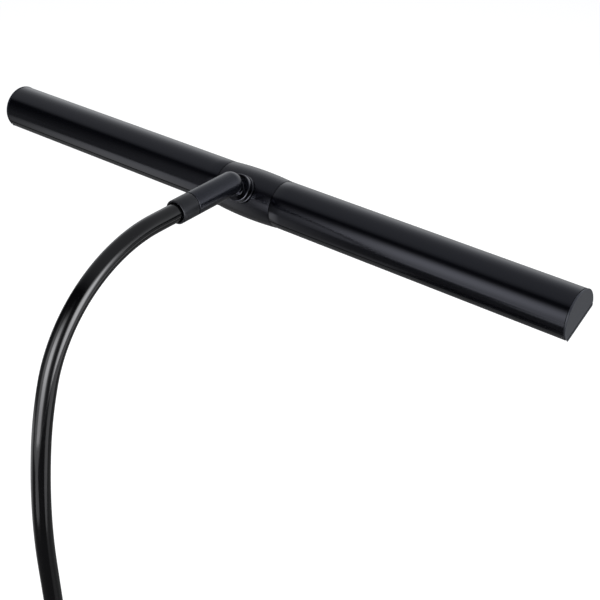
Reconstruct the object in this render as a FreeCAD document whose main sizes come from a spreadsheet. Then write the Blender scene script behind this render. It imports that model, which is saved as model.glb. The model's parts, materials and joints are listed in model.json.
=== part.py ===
import FreeCAD, Part
import math
import os
import Sketcher

from FreeCAD import Placement, Rotation, Vector

# Piano lamp, in millimetres. +Z is up, +X runs along the light bar and +Y points from the arm's foot
# towards the light bar. The origin is the middle of the face that the base rests on.

SIZES = {
    # Base
    "base_width": 170.0,
    "base_depth": 140.0,
    "base_top": 22.0,
    "base_corner": 28.0,
    "base_edge": 4.0,
    "cover_lift": 0.8,
    "cover_wall": 1.5,
    "pad_thick": 2.0,
    "pad_inset": 4.0,
    "plate_thick": 2.0,
    "plate_gap": 0.4,
    "weight_gap": 3.5,
    "weight_headroom": 0.3,
    "plate_screw_inset": 17.0,
    "plate_screw_radius": 2.0,
    "plate_screw_head": 3.8,
    "plate_screw_length": 12.0,
    # Arm foot
    "foot_setback": 38.0,
    "socket_flange_radius": 12.0,
    "socket_flange_height": 5.0,
    "socket_barrel_radius": 9.0,
    "socket_chamfer": 0.8,
    "socket_bottom": 7.0,
    "nut_across": 24.0,
    "nut_thick": 4.0,
    "nut_recess_radius": 14.6,
    "nut_recess_top": 11.7,
    "bush_wall": 1.6,
    "bush_bottom": 11.5,
    "running_gap": 0.05,
    "collar_radius": 9.0,
    "collar_height": 6.0,
    "collar_gap": 0.3,
    "grub_radius": 1.5,
    "clip_width": 1.1,
    "clip_thick": 0.9,
    "clip_groove": 0.5,
    "clip_gap": 0.4,
    # Arm
    "arm_radius": 5.7,
    "arm_wall": 1.7,
    "arm_bottom": 8.2,
    "leg_top": 220.0,
    "foot_bend_radius": 440.0,
    "foot_bend_angle": 11.0,
    "middle_bend_radius": 250.0,
    "middle_bend_angle": 9.0,
    "top_bend_radius": 95.3,
    "arm_top_straight": 28.1,
    # Sleeve and swivel tube
    "tube_rise": 17.05,
    "tube_radius": 7.5,
    "tube_bore": 5.4,
    "tube_chamfer": 0.35,
    "seam_reach": 59.0,
    "seam_gap": 0.4,
    "sleeve_length": 13.0,
    "sleeve_front": 1.8,
    "sleeve_mouth": 0.7,
    "sleeve_chamfer": 0.45,
    "dome_reach": 24.4,
    "bore_end_reach": 31.0,
    "stud_radius": 4.0,
    "stud_bore": 1.5,
    "stud_reach": 36.0,
    "stud_depth": 19.0,
    # Collar between the swivel tube and the hub
    "collar_angle": 34.0,
    "ring_radius": 9.1,
    "ring_chamfer": 0.5,
    "ring_neck": 8.2,
    "hub_ring_start": 15.0,
    "hub_ring_end": 17.6,
    "post_ring_end": 20.7,
    "ring_gap": 0.25,
    "post_neck_radius": 4.6,
    "post_neck_end": 30.0,
    "post_radius": 3.5,
    "post_end": 6.6,
    "post_bore": 1.5,
    "pivot_seat": 10.6,
    "pivot_washer_radius": 5.9,
    "pivot_washer_thick": 0.9,
    "pivot_nut_across": 10.0,
    "pivot_nut_thick": 2.4,
    # Hub
    "hub_length": 44.5,
    "hub_swell": 0.95,
    "hub_bore": 10.0,
    "hub_chamfer": 0.4,
    "hub_gap": 0.4,
    "bush_length": 10.2,
    "axle_radius": 4.0,
    "axle_bore": 2.5,
    "axle_length": 70.0,
    "washer_radius": 7.5,
    "washer_thick": 1.0,
    # Light bar
    "head_length": 450.0,
    "head_radius": 15.2,
    "flat_depth": 6.45,
    "head_tilt": 21.2,
    "profile_wall": 1.5,
    "lip_thick": 1.1,
    "slot_half_width": 10.6,
    "shelf_height": 1.8,
    "shelf_thick": 1.2,
    "plug_length": 12.6,
    "plug_gap": 0.1,
    "cap_thick": 1.4,
    "cap_overlap": 0.2,
    "cap_spigot": 4.0,
    "diffuser_thick": 1.6,
    "diffuser_half_width": 12.2,
    "board_half_width": 11.6,
    "board_thick": 1.2,
    "led_count": 12,
    "led_length": 3.5,
    "led_width": 2.8,
    "led_thick": 0.8,
    "led_margin": 12.0,
    # Controls and electrics in the base
    "button_x": 44.0,
    "button_radius": 7.9,
    "button_proud": 1.6,
    "button_flange": 1.3,
    "button_flange_thick": 1.7,
    "button_stem": 2.2,
    "button_gap": 0.3,
    "button_travel": 1.2,
    "guide_wall": 1.2,
    "guide_floor": 1.2,
    "guide_height": 7.3,
    "spring_radius": 4.5,
    "spring_wire": 0.25,
    "spring_turns": 3,
    "switch_side": 6.0,
    "switch_height": 3.5,
    "switch_plunger_radius": 1.6,
    "switch_plunger_height": 0.9,
    "control_board_width": 34.0,
    "control_board_depth": 30.0,
    "control_board_back": 4.0,
    "control_board_thick": 1.6,
    "spacer_height": 2.0,
    "spacer_radius": 2.5,
    "board_screw_radius": 1.2,
    "board_screw_head": 2.2,
    "board_screw_inset": 3.2,
    "pocket_margin": 2.0,
    "lead_room": 8.0,
    "jack_x": 40.0,
    "jack_radius": 4.0,
    "jack_flange_radius": 5.5,
    "jack_flange_thick": 1.0,
    "jack_length": 12.0,
    "jack_bore": 2.75,
    "jack_pin": 1.0,
    "jack_height": 12.6,
    "jack_nut_thick": 2.2,
    "lead_radius": 1.1,
    "lead_height": 5.3,
    "lead_gap": 0.5,
}

X_AXIS = Vector(1, 0, 0)
Y_AXIS = Vector(0, 1, 0)
Z_AXIS = Vector(0, 0, 1)
SIDES = {"left": -1, "right": 1}


class Size:
    """A size with its value in millimetres and the sheet expression that it comes from."""

    def __init__(self, value, expression):
        self.value = float(value)
        self.expression = expression

    def __float__(self):
        return self.value

    def __neg__(self):
        return Size(-self.value, "(-1 * %s)" % self.expression)

    def __add__(self, other):
        return Size(self.value + float(other), "(%s + %s)" % (self.expression, written(other)))

    def __sub__(self, other):
        return Size(self.value - float(other), "(%s - %s)" % (self.expression, written(other)))

    def __mul__(self, other):
        return Size(self.value * float(other), "(%s * %s)" % (self.expression, written(other)))

    def __truediv__(self, other):
        return Size(self.value / float(other), "(%s / %s)" % (self.expression, written(other)))


def written(size):
    """The text of a size, or of a plain number, in a sheet expression."""
    return size.expression if isinstance(size, Size) else "%.9g" % size


class Sizes:
    """The driving dimensions by name, as sizes bound to the sheet."""

    def __init__(self, table):
        for name, value in table.items():
            setattr(self, name, Size(value, "Sizes." + name))


doc = FreeCAD.newDocument("PianoLamp")
sheet = doc.addObject("Spreadsheet::Sheet", "Sizes")
for row, (alias, number) in enumerate(SIZES.items(), start=1):
    sheet.set("A%d" % row, alias)
    sheet.set("B%d" % row, str(number))
    sheet.setAlias("B%d" % row, alias)
doc.recompute()

S = Sizes(SIZES)
ZERO = Size(0.0, "0")
parts = {}


# ---------------------------------------------------------------- helpers

def part(label, shape_object, placement=None):
    """Give a finished sub-part its label and, where it has one, its place."""
    shape_object.Label = label
    if placement is not None:
        shape_object.Placement = placement.multiply(shape_object.Placement)
    parts[label] = shape_object
    return shape_object


def along(start, axis):
    """A placement at start whose Z runs along axis."""
    return Placement(start, Rotation(Z_AXIS, axis))


def cylinder(name, radius, length, start, axis=Z_AXIS):
    """A round bar from start along axis."""
    bar = doc.addObject("Part::Cylinder", name)
    bar.setExpression("Radius", written(radius))
    bar.setExpression("Height", written(length))
    bar.Placement = along(start, axis)
    return bar


def cone(name, radius_1, radius_2, length, start, axis=Z_AXIS):
    """A tapered bar from start along axis."""
    taper = doc.addObject("Part::Cone", name)
    taper.setExpression("Radius1", written(radius_1))
    taper.setExpression("Radius2", written(radius_2))
    taper.setExpression("Height", written(length))
    taper.Placement = along(start, axis)
    return taper


def box(name, length, width, height, corner):
    """A block with its lowest corner at corner."""
    block = doc.addObject("Part::Box", name)
    block.setExpression("Length", written(length))
    block.setExpression("Width", written(width))
    block.setExpression("Height", written(height))
    block.Placement = Placement(corner, Rotation())
    return block


def hexagon(name, across, thick, start, axis=Z_AXIS):
    """A hexagonal prism across its flats."""
    prism = doc.addObject("Part::Prism", name)
    prism.Polygon = 6
    prism.setExpression("Circumradius", written(across / math.sqrt(3)))
    prism.setExpression("Height", written(thick))
    prism.Placement = along(start, axis)
    return prism


def fuse(name, *shapes):
    """One shape made of several."""
    union = doc.addObject("Part::MultiFuse", name)
    union.Shapes = list(shapes)
    return union


def cut(name, base, *tools):
    """Base without the tools."""
    result = doc.addObject("Part::Cut", name)
    result.Base = base
    result.Tool = tools[0] if len(tools) == 1 else fuse(name + "_tools", *tools)
    return result


def common(name, first, second):
    """What two shapes share."""
    result = doc.addObject("Part::Common", name)
    result.Base = first
    result.Tool = second
    return result


def group(name, shapes):
    """Separate solids that share one node."""
    compound = doc.addObject("Part::Compound", name)
    compound.Links = list(shapes)
    return compound


def origin_plane(body, role):
    """The body's own origin plane with that role."""
    return next(item for item in body.Origin.OriginFeatures if item.Role == role)


def pin_point(sketch, geometry, end, x, y):
    """Fix one end of a sketch line at a place given by two sizes."""
    for kind, coordinate in (("DistanceX", x), ("DistanceY", y)):
        index = sketch.addConstraint(Sketcher.Constraint(kind, -1, 1, geometry, end, float(coordinate)))
        sketch.setExpression("Constraints[%d]" % index, written(coordinate))


def turned(name, outline, swell=None):
    """A body turned about its own Z from an outline of (radius, height) sizes.

    swell replaces the outline's first line by an arc that stands that far out in the middle.
    """
    body = doc.addObject("PartDesign::Body", name)
    sketch = body.newObject("Sketcher::SketchObject", name + "_outline")
    sketch.AttachmentSupport = [(origin_plane(body, "XZ_Plane"), "")]
    sketch.MapMode = "FlatFace"
    points = [Vector(float(radius), float(height), 0) for radius, height in outline]
    for index, point in enumerate(points):
        following = points[(index + 1) % len(points)]
        if index == 0 and swell is not None:
            middle = (point + following) / 2 + Vector(float(swell), 0, 0)
            sketch.addGeometry(Part.Arc(point, middle, following), False)
        else:
            sketch.addGeometry(Part.LineSegment(point, following), False)
    ends = [(1, 2)] * len(points)
    if swell is not None:
        ends[0] = (1, 2) if sketch.Geometry[0].StartPoint.distanceToPoint(points[0]) < 1e-6 else (2, 1)
    for index in range(len(points)):
        after = (index + 1) % len(points)
        sketch.addConstraint(
            Sketcher.Constraint("Coincident", index, ends[index][1], after, ends[after][0]))
    for index, (radius, height) in enumerate(outline):
        pin_point(sketch, index, ends[index][0], radius, height)
    if swell is not None:
        chord = outline[1][1] - outline[0][1]
        arc_radius = (chord * chord / 4.0 + swell * swell) / (swell * 2.0)
        index = sketch.addConstraint(Sketcher.Constraint("Radius", 0, float(arc_radius)))
        sketch.setExpression("Constraints[%d]" % index, written(arc_radius))
    revolution = body.newObject("PartDesign::Revolution", name + "_turn")
    revolution.Profile = sketch
    revolution.ReferenceAxis = (sketch, ["V_Axis"])
    revolution.Angle = 360.0
    doc.recompute()
    return body


def ring(name, inner, outer, length, start=0.0):
    """A plain turned ring or bush."""
    foot = ZERO + start
    return turned(name, [(outer, foot), (outer, foot + length), (inner, foot + length), (inner, foot)])


def rounded_plate(name, width, depth, corner, thick, edge=None):
    """A plate with round corners, standing on its own XY plane, and a round top edge if edge is given."""
    body = doc.addObject("PartDesign::Body", name)
    sketch = body.newObject("Sketcher::SketchObject", name + "_outline")
    sketch.AttachmentSupport = [(origin_plane(body, "XY_Plane"), "")]
    sketch.MapMode = "FlatFace"
    half_x = width / 2.0
    half_y = depth / 2.0
    corners = [(-half_x, -half_y), (half_x, -half_y), (half_x, half_y), (-half_x, half_y)]
    for index, (x, y) in enumerate(corners):
        next_x, next_y = corners[(index + 1) % 4]
        line = Part.LineSegment(Vector(float(x), float(y), 0), Vector(float(next_x), float(next_y), 0))
        sketch.addGeometry(line, False)
    for index in range(4):
        sketch.addConstraint(Sketcher.Constraint("Coincident", index, 2, (index + 1) % 4, 1))
    for index, (x, y) in enumerate(corners):
        pin_point(sketch, index, 1, x, y)
    pad = body.newObject("PartDesign::Pad", name + "_pad")
    pad.Profile = sketch
    pad.setExpression("Length", written(thick))
    doc.recompute()
    upright = [edge_name(pad.Shape, item) for item in pad.Shape.Edges
               if abs(item.tangentAt(item.FirstParameter).z) > 0.9]
    rounding = body.newObject("PartDesign::Fillet", name + "_corners")
    rounding.Base = (pad, upright)
    rounding.setExpression("Radius", written(corner))
    doc.recompute()
    if edge is not None:
        top = [edge_name(rounding.Shape, item) for item in rounding.Shape.Edges
               if item.BoundBox.ZMin > float(thick) - 1e-6]
        softening = body.newObject("PartDesign::Fillet", name + "_edge")
        softening.Base = (rounding, top)
        softening.setExpression("Radius", written(edge))
        doc.recompute()
    return body


def edge_name(shape, wanted):
    """The name by which a feature refers to one of a shape's edges."""
    for index, item in enumerate(shape.Edges, start=1):
        if item.isSame(wanted):
            return "Edge%d" % index
    raise ValueError("the edge isn't in the shape")


def swept(name, spine_edges, radius, start, heading):
    """A round bar along a wire of straight runs and tangent arcs."""
    spine = doc.addObject("Part::Feature", name + "_line")
    spine.Shape = Part.Wire(spine_edges)
    section = doc.addObject("Part::Circle", name + "_section")
    section.setExpression("Radius", written(radius))
    section.Placement = along(start, heading)
    sweep = doc.addObject("Part::Sweep", name)
    sweep.Sections = [section]
    sweep.Spine = (spine, ["Edge%d" % number for number in range(1, len(spine_edges) + 1)])
    sweep.Solid = True
    sweep.Frenet = False
    doc.recompute()
    expected = spine.Shape.Length * math.pi * float(radius) ** 2
    print("%s: length %.1f mm, volume %.4f of section times length"
          % (name, spine.Shape.Length, sweep.Shape.Volume / expected))
    return sweep


def rounded_route(points, radii):
    """Straight runs through points, with a tangent arc of the given radius at each inner point."""
    edges = []
    last = points[0]
    for before, corner, after, radius in zip(points, points[1:], points[2:], radii):
        incoming = (corner - before).normalize()
        outgoing = (after - corner).normalize()
        turn = incoming.getAngle(outgoing)
        setback = radius * math.tan(turn / 2)
        arc_start = corner - incoming * setback
        arc_end = corner + outgoing * setback
        inward = (outgoing - incoming).normalize()
        middle = corner + inward * (radius / math.cos(turn / 2) - radius)
        edges.append(Part.LineSegment(last, arc_start).toShape())
        edges.append(Part.Arc(arc_start, middle, arc_end).toShape())
        last = arc_end
    edges.append(Part.LineSegment(last, points[-1]).toShape())
    return edges


# ---------------------------------------------------------------- places worked out from the sizes

def place_of_arm():
    """The arm's line from its foot to its top end, as (start, heading change) arcs in the YZ plane.

    The leg rises straight, leans over through three tangent bends, each tighter than the last, and
    ends level. Returns the wire's edges, and the top end.
    """
    bends = ((float(S.foot_bend_radius), float(S.foot_bend_angle)),
             (float(S.middle_bend_radius), float(S.middle_bend_angle)),
             (float(S.top_bend_radius), 90.0 - float(S.foot_bend_angle) - float(S.middle_bend_angle)))
    foot = Vector(0, -float(S.foot_setback), float(S.arm_bottom))
    here = Vector(0, foot.y, float(S.leg_top))
    edges = [Part.LineSegment(foot, here).toShape()]
    lean = 0.0
    for radius, angle in bends:
        stations = []
        for share in (0.5, 1.0):
            turned_to = math.radians(lean + angle * share)
            begun_at = math.radians(lean)
            run = radius * (math.cos(begun_at) - math.cos(turned_to))
            rise = radius * (math.sin(turned_to) - math.sin(begun_at))
            stations.append(here + Vector(0, run, rise))
        edges.append(Part.Arc(here, stations[0], stations[1]).toShape())
        here = stations[1]
        lean += angle
    end = here + Vector(0, float(S.arm_top_straight), 0)
    edges.append(Part.LineSegment(here, end).toShape())
    return edges, foot, end


arm_edges, arm_foot, arm_end = place_of_arm()
sleeve_face = arm_end.y + float(S.sleeve_front)
hub_centre = Vector(0, sleeve_face + float(S.seam_gap) / 2 + float(S.seam_reach), arm_end.z - float(S.tube_rise))
tube_z = arm_end.z
collar_lean = math.radians(float(S.collar_angle))
collar_out = Vector(0, -math.cos(collar_lean), math.sin(collar_lean))
lead_crossing = S.tube_rise / math.tan(collar_lean)
head_place = Placement(hub_centre, Rotation(X_AXIS, float(S.head_tilt)))


def on_tube(reach):
    """A point on the swivel tube's axis, by its distance behind the hub's middle."""
    return Vector(0, hub_centre.y - float(reach), tube_z)


def on_collar(reach):
    """A point on the collar's axis, by its distance from the hub's middle."""
    return hub_centre + collar_out * float(reach)


# ---------------------------------------------------------------- base

foot_xy = Vector(0, -float(S.foot_setback), 0)
button_xy = Vector(float(S.button_x), -float(S.foot_setback), 0)
plate_bottom = S.pad_thick
plate_top = S.pad_thick + S.plate_thick
cover_inside = S.base_top - S.cover_wall
weight_top = cover_inside - S.weight_headroom
board_bottom = plate_top + S.spacer_height
board_top = board_bottom + S.control_board_thick


def make_cover():
    """The pressed cover: a shallow dish turned over, with the socket, button and jack holes."""
    shell = rounded_plate("cover_shell", S.base_width, S.base_depth, S.base_corner,
                          S.base_top - S.cover_lift, S.base_edge)
    hollow = rounded_plate("cover_hollow", S.base_width - S.cover_wall * 2.0, S.base_depth - S.cover_wall * 2.0,
                           S.base_corner - S.cover_wall, S.base_top - S.cover_lift - S.cover_wall,
                           S.base_edge - S.cover_wall)
    for dish in (shell, hollow):
        dish.Placement = Placement(Vector(0, 0, float(S.cover_lift)), Rotation())
    socket_hole = cylinder("cover_socket_hole", S.socket_barrel_radius + S.running_gap, S.base_top, foot_xy)
    button_hole = cylinder("cover_button_hole", S.button_radius + S.button_gap, S.base_top, button_xy)
    jack_start = Vector(float(S.jack_x), -float(S.base_depth) / 2 - 1, float(S.jack_height))
    jack_hole = cylinder("cover_jack_hole", S.jack_radius + S.running_gap, S.cover_wall * 4.0, jack_start, Y_AXIS)
    return part("base_cover", cut("cover_cut", shell, hollow, socket_hole, button_hole, jack_hole))


def make_pad():
    """The soft pad that the lamp stands on."""
    return part("base_pad", rounded_plate("pad_body", S.base_width - S.pad_inset * 2.0,
                                          S.base_depth - S.pad_inset * 2.0,
                                          S.base_corner - S.pad_inset, S.pad_thick))


def screw_places(width, depth, inset):
    """Four places inside the corners of a rectangle."""
    x = float(width) / 2 - float(inset)
    y = float(depth) / 2 - float(inset)
    return [Vector(sx * x, sy * y, 0) for sx in (-1, 1) for sy in (-1, 1)]


def board_screw_places():
    """Four places inside the corners of the control board."""
    centre = button_xy - Vector(0, float(S.control_board_back), 0)
    return centre, [centre + corner for corner in
                    screw_places(S.control_board_width, S.control_board_depth, S.board_screw_inset)]


def make_plate():
    """The steel plate that closes the base."""
    plate = rounded_plate("plate_body", S.base_width - (S.cover_wall + S.plate_gap) * 2.0,
                          S.base_depth - (S.cover_wall + S.plate_gap) * 2.0,
                          S.base_corner - S.cover_wall - S.plate_gap, S.plate_thick)
    plate.Placement = Placement(Vector(0, 0, float(plate_bottom)), Rotation())
    tools = []
    for number, place in enumerate(screw_places(S.base_width, S.base_depth, S.plate_screw_inset)):
        start = place + Vector(0, 0, float(plate_bottom))
        tools.append(cone("plate_sink_%d" % number, S.plate_screw_head, S.plate_screw_radius,
                          S.plate_thick, start))
    for number, place in enumerate(board_screw_places()[1]):
        tools.append(cylinder("plate_board_hole_%d" % number, S.board_screw_radius, S.plate_thick * 3.0, place))
    return part("base_plate", cut("plate_cut", plate, *tools))


def make_plate_screws():
    """Four countersunk screws from the plate into the weight."""
    screws = []
    for number, place in enumerate(screw_places(S.base_width, S.base_depth, S.plate_screw_inset)):
        start = place + Vector(0, 0, float(plate_bottom))
        head = cone("plate_screw_head_%d" % number, S.plate_screw_head, S.plate_screw_radius,
                    S.plate_thick, start)
        shank = cylinder("plate_screw_shank_%d" % number, S.plate_screw_radius, S.plate_screw_length, start)
        socket = hexagon("plate_screw_socket_%d" % number, S.plate_screw_radius, S.plate_thick * 0.6, start)
        screws.append(cut("plate_screw_%d" % number, fuse("plate_screw_blank_%d" % number, head, shank), socket))
    return part("plate_screws", group("plate_screw_group", screws))


def make_weight():
    """The cast weight, with the nut's recess, the pocket for the electrics and the lead's channel."""
    thick = weight_top - plate_top
    block = rounded_plate("weight_body", S.base_width - (S.cover_wall + S.weight_gap) * 2.0,
                          S.base_depth - (S.cover_wall + S.weight_gap) * 2.0,
                          S.base_corner - S.cover_wall - S.weight_gap, thick, S.base_edge - S.cover_wall)
    block.Placement = Placement(Vector(0, 0, float(plate_top)), Rotation())
    hole = cylinder("weight_hole", S.socket_barrel_radius + S.running_gap, S.base_top, foot_xy)
    recess = cylinder("weight_recess", S.nut_recess_radius, S.nut_recess_top, foot_xy)
    centre = board_screw_places()[0]
    pocket_width = S.control_board_width + S.pocket_margin + S.lead_room
    pocket_back = S.base_depth / 2.0
    pocket_depth = (pocket_back - S.foot_setback - S.control_board_back + S.control_board_depth / 2.0
                    + S.pocket_margin)
    pocket = box("weight_pocket", pocket_width, pocket_depth, S.base_top,
                 Vector(centre.x - float(S.control_board_width / 2.0 + S.lead_room), -float(pocket_back), 0))
    channel = box("weight_channel", S.button_x - S.control_board_width / 2.0, S.lead_radius * 5.0,
                  S.lead_height + S.lead_radius * 2.0, foot_xy - Vector(0, float(S.lead_radius) * 2.5, 0))
    tools = [hole, recess, pocket, channel]
    for number, place in enumerate(screw_places(S.base_width, S.base_depth, S.plate_screw_inset)):
        tools.append(cylinder("weight_tap_%d" % number, S.plate_screw_radius,
                              plate_bottom + S.plate_screw_length, place))
    return part("base_weight", cut("weight_cut", block, *tools))


def make_socket():
    """The flanged socket that the arm stands in, its nut and its bush."""
    top = S.base_top + S.socket_flange_height
    bore = S.arm_radius + S.running_gap + S.bush_wall
    socket = turned("socket_body", [
        (bore, S.socket_bottom), (S.socket_barrel_radius, S.socket_bottom),
        (S.socket_barrel_radius, S.base_top), (S.socket_flange_radius, S.base_top),
        (S.socket_flange_radius, top - S.socket_chamfer), (S.socket_flange_radius - S.socket_chamfer, top),
        (bore, top)])
    part("arm_socket", socket, Placement(foot_xy, Rotation()))
    nut_top = S.nut_recess_top - S.running_gap
    blank = hexagon("socket_nut_blank", S.nut_across, S.nut_thick,
                    foot_xy + Vector(0, 0, float(nut_top - S.nut_thick)))
    thread = cylinder("socket_nut_bore", S.socket_barrel_radius + S.running_gap, S.base_top, foot_xy)
    part("socket_nut", cut("socket_nut_cut", blank, thread))
    liner = ring("socket_bush_body", S.arm_radius + S.running_gap, bore - S.running_gap,
                 top - S.bush_bottom, S.bush_bottom)
    part("socket_bush", liner, Placement(foot_xy, Rotation()))


def make_electrics():
    """The control board on its spacers and screws, the switch and the inlet in the base's back wall."""
    centre, places = board_screw_places()
    corner = centre - Vector(float(S.control_board_width) / 2, float(S.control_board_depth) / 2, 0)
    panel = box("control_board_panel", S.control_board_width, S.control_board_depth, S.control_board_thick,
                corner + Vector(0, 0, float(board_bottom)))
    holes = [cylinder("control_board_hole_%d" % number, S.board_screw_radius + S.running_gap, S.base_top, place)
             for number, place in enumerate(places)]
    part("control_board", cut("control_board_cut", panel, *holes))
    spacers = []
    screws = []
    for number, place in enumerate(places):
        foot = place + Vector(0, 0, float(plate_top))
        tube = cylinder("spacer_tube_%d" % number, S.spacer_radius, S.spacer_height, foot)
        hole = cylinder("spacer_hole_%d" % number, S.board_screw_radius + S.running_gap, S.spacer_height, foot)
        spacers.append(cut("spacer_%d" % number, tube, hole))
        tip = place + Vector(0, 0, float(plate_bottom + S.running_gap * 2.0))
        shank = cylinder("board_screw_shank_%d" % number, S.board_screw_radius,
                         board_top - plate_bottom - S.running_gap * 2.0, tip)
        head = cylinder("board_screw_head_%d" % number, S.board_screw_head, S.board_screw_radius,
                        place + Vector(0, 0, float(board_top)))
        screws.append(fuse("board_screw_%d" % number, shank, head))
    part("board_spacers", group("spacer_group", spacers))
    part("board_screws", group("board_screw_group", screws))
    switch_foot = button_xy + Vector(0, 0, float(board_top))
    body = box("switch_body", S.switch_side, S.switch_side, S.switch_height,
               switch_foot - Vector(float(S.switch_side) / 2, float(S.switch_side) / 2, 0))
    plunger = cylinder("switch_plunger", S.switch_plunger_radius, S.switch_height + S.switch_plunger_height,
                       switch_foot)
    part("tact_switch", fuse("switch_fuse", body, plunger))
    jack = turned("jack_body", [
        (S.jack_bore, -S.jack_flange_thick), (S.jack_flange_radius, -S.jack_flange_thick),
        (S.jack_flange_radius, ZERO), (S.jack_radius, ZERO),
        (S.jack_radius, S.jack_length), (ZERO, S.jack_length),
        (ZERO, S.jack_flange_thick * 0.5), (S.jack_pin, S.jack_flange_thick * 0.5),
        (S.jack_pin, S.jack_length - S.cover_wall), (S.jack_bore, S.jack_length - S.cover_wall)])
    wall = Vector(float(S.jack_x), -float(S.base_depth) / 2, float(S.jack_height))
    part("dc_jack", jack, along(wall, Y_AXIS))
    nut_start = wall + Vector(0, float(S.cover_wall), 0)
    blank = hexagon("jack_nut_blank", S.jack_flange_radius * 2.0, S.jack_nut_thick, nut_start, Y_AXIS)
    thread = cylinder("jack_nut_bore", S.jack_radius + S.running_gap, S.jack_nut_thick, nut_start, Y_AXIS)
    part("jack_nut", cut("jack_nut_cut", blank, thread))


def make_button():
    """The push button with its guide cup and return spring."""
    flange_top = cover_inside - S.button_gap * 0.5
    flange_bottom = flange_top - S.button_flange_thick
    button_top = S.base_top + S.button_proud
    rounding = S.button_proud * 0.4
    stem_bottom = (board_top + S.switch_height + S.switch_plunger_height + S.button_travel
                   + S.running_gap * 2.0)
    button = turned("button_body", [
        (ZERO, stem_bottom), (S.button_stem, stem_bottom), (S.button_stem, flange_bottom),
        (S.button_radius + S.button_flange, flange_bottom), (S.button_radius + S.button_flange, flange_top),
        (S.button_radius, flange_top), (S.button_radius, button_top - rounding),
        (S.button_radius - rounding, button_top), (ZERO, button_top)])
    part("push_button", button, Placement(button_xy, Rotation()))
    bore = S.button_radius + S.button_flange + S.button_gap
    outer = bore + S.guide_wall
    floor = cover_inside - S.guide_height
    guide = turned("guide_body", [
        (S.button_stem + S.button_gap, floor), (outer, floor), (outer, cover_inside), (bore, cover_inside),
        (bore, floor + S.guide_floor), (S.button_stem + S.button_gap, floor + S.guide_floor)])
    part("button_guide", guide, Placement(button_xy, Rotation()))
    spring_foot = floor + S.guide_floor + S.spring_wire
    rise = float(flange_bottom - S.spring_wire) - float(spring_foot)
    spine = doc.addObject("Part::Helix", "spring_line")
    spine.setExpression("Radius", written(S.spring_radius))
    spine.Height = rise
    spine.Pitch = rise / float(S.spring_turns)
    spine.Placement = Placement(button_xy + Vector(0, 0, float(spring_foot)), Rotation())
    wire = doc.addObject("Part::Circle", "spring_section")
    wire.setExpression("Radius", written(S.spring_wire))
    wire.Placement = along(button_xy + Vector(float(S.spring_radius), 0, float(spring_foot)), Y_AXIS)
    coil = doc.addObject("Part::Sweep", "spring_coil")
    coil.Sections = [wire]
    coil.Spine = spine
    coil.Solid = True
    coil.Frenet = True
    part("button_spring", coil)


def make_base_lead():
    """The lead from the control board, under the socket nut and up into the arm's foot."""
    centre = board_screw_places()[0]
    board_edge = centre.x - float(S.control_board_width) / 2
    high = float(board_top + S.lead_radius)
    low = float(S.lead_height)
    y = foot_xy.y
    tail = float(S.arm_bottom) + float(S.lead_gap) * 2
    points = [Vector(board_edge + 4, y, high), Vector(board_edge - 2, y, high), Vector(board_edge - 7, y, low),
              Vector(0, y, low), Vector(0, y, tail)]
    edges = rounded_route(points, [3.0, 3.0, (tail - low) * 0.5])
    part("base_lead", swept("base_lead_bar", edges, S.lead_radius, points[0], Vector(-1, 0, 0)))


# ---------------------------------------------------------------- arm

def make_arm():
    """The bent arm tube, its ring and clip at the foot, and the lead inside it."""
    outer = swept("arm_outer", arm_edges, S.arm_radius, arm_foot, Z_AXIS)
    inner = swept("arm_inner", arm_edges, S.arm_radius - S.arm_wall, arm_foot, Z_AXIS)
    groove_top = S.bush_bottom - S.clip_gap * 0.5
    groove_bottom = groove_top - S.clip_thick - S.running_gap * 4.0
    groove = ring("arm_groove", S.arm_radius - S.clip_groove, S.arm_radius * 2.0,
                  groove_top - groove_bottom, groove_bottom)
    groove.Placement = Placement(foot_xy, Rotation())
    part("arm_tube", cut("arm_cut", outer, inner, groove))
    clip_bottom = groove_bottom + S.running_gap * 2.0
    clip = ring("arm_clip_body", S.arm_radius - S.clip_groove + S.running_gap,
                S.arm_radius - S.clip_groove + S.clip_width + S.clip_groove, S.clip_thick, clip_bottom)
    part("arm_clip", clip, Placement(foot_xy, Rotation()))
    collar_bottom = S.base_top + S.socket_flange_height + S.collar_gap
    collar_top = collar_bottom + S.collar_height
    edge = S.socket_chamfer
    bore = S.arm_radius + S.running_gap * 0.4
    collar = turned("collar_body", [
        (bore, collar_bottom), (S.collar_radius - edge, collar_bottom),
        (S.collar_radius, collar_bottom + edge), (S.collar_radius, collar_top - edge),
        (S.collar_radius - edge, collar_top), (bore, collar_top)])
    collar.Placement = Placement(foot_xy, Rotation())
    screw_height = float(collar_bottom + S.collar_height / 2.0)
    tap = cylinder("collar_tap", S.grub_radius, S.collar_radius, foot_xy + Vector(0, 0, screw_height),
                   Vector(0, -1, 0))
    part("arm_collar", cut("collar_cut", collar, tap))
    grub_start = foot_xy + Vector(0, -float(bore), screw_height)
    grub = cylinder("collar_grub", S.grub_radius, S.collar_radius - bore - S.running_gap * 4.0, grub_start,
                    Vector(0, -1, 0))
    key = hexagon("collar_grub_key", S.grub_radius, S.grub_radius,
                  grub_start - Vector(0, float(S.collar_radius - bore - S.grub_radius), 0), Vector(0, -1, 0))
    part("collar_screw", cut("collar_screw_cut", grub, key))


def make_arm_lead():
    """The lead inside the arm, from its foot to the end of the stud."""
    start = arm_foot + Vector(0, 0, float(S.lead_gap) * 4)
    end = on_tube(S.stud_reach)
    edges = [Part.LineSegment(start, arm_edges[0].Vertexes[1].Point).toShape()]
    edges += arm_edges[1:-1]
    edges.append(Part.LineSegment(arm_edges[-1].Vertexes[0].Point, end).toShape())
    part("arm_lead", swept("arm_lead_bar", edges, S.lead_radius, start, Z_AXIS))


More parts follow.
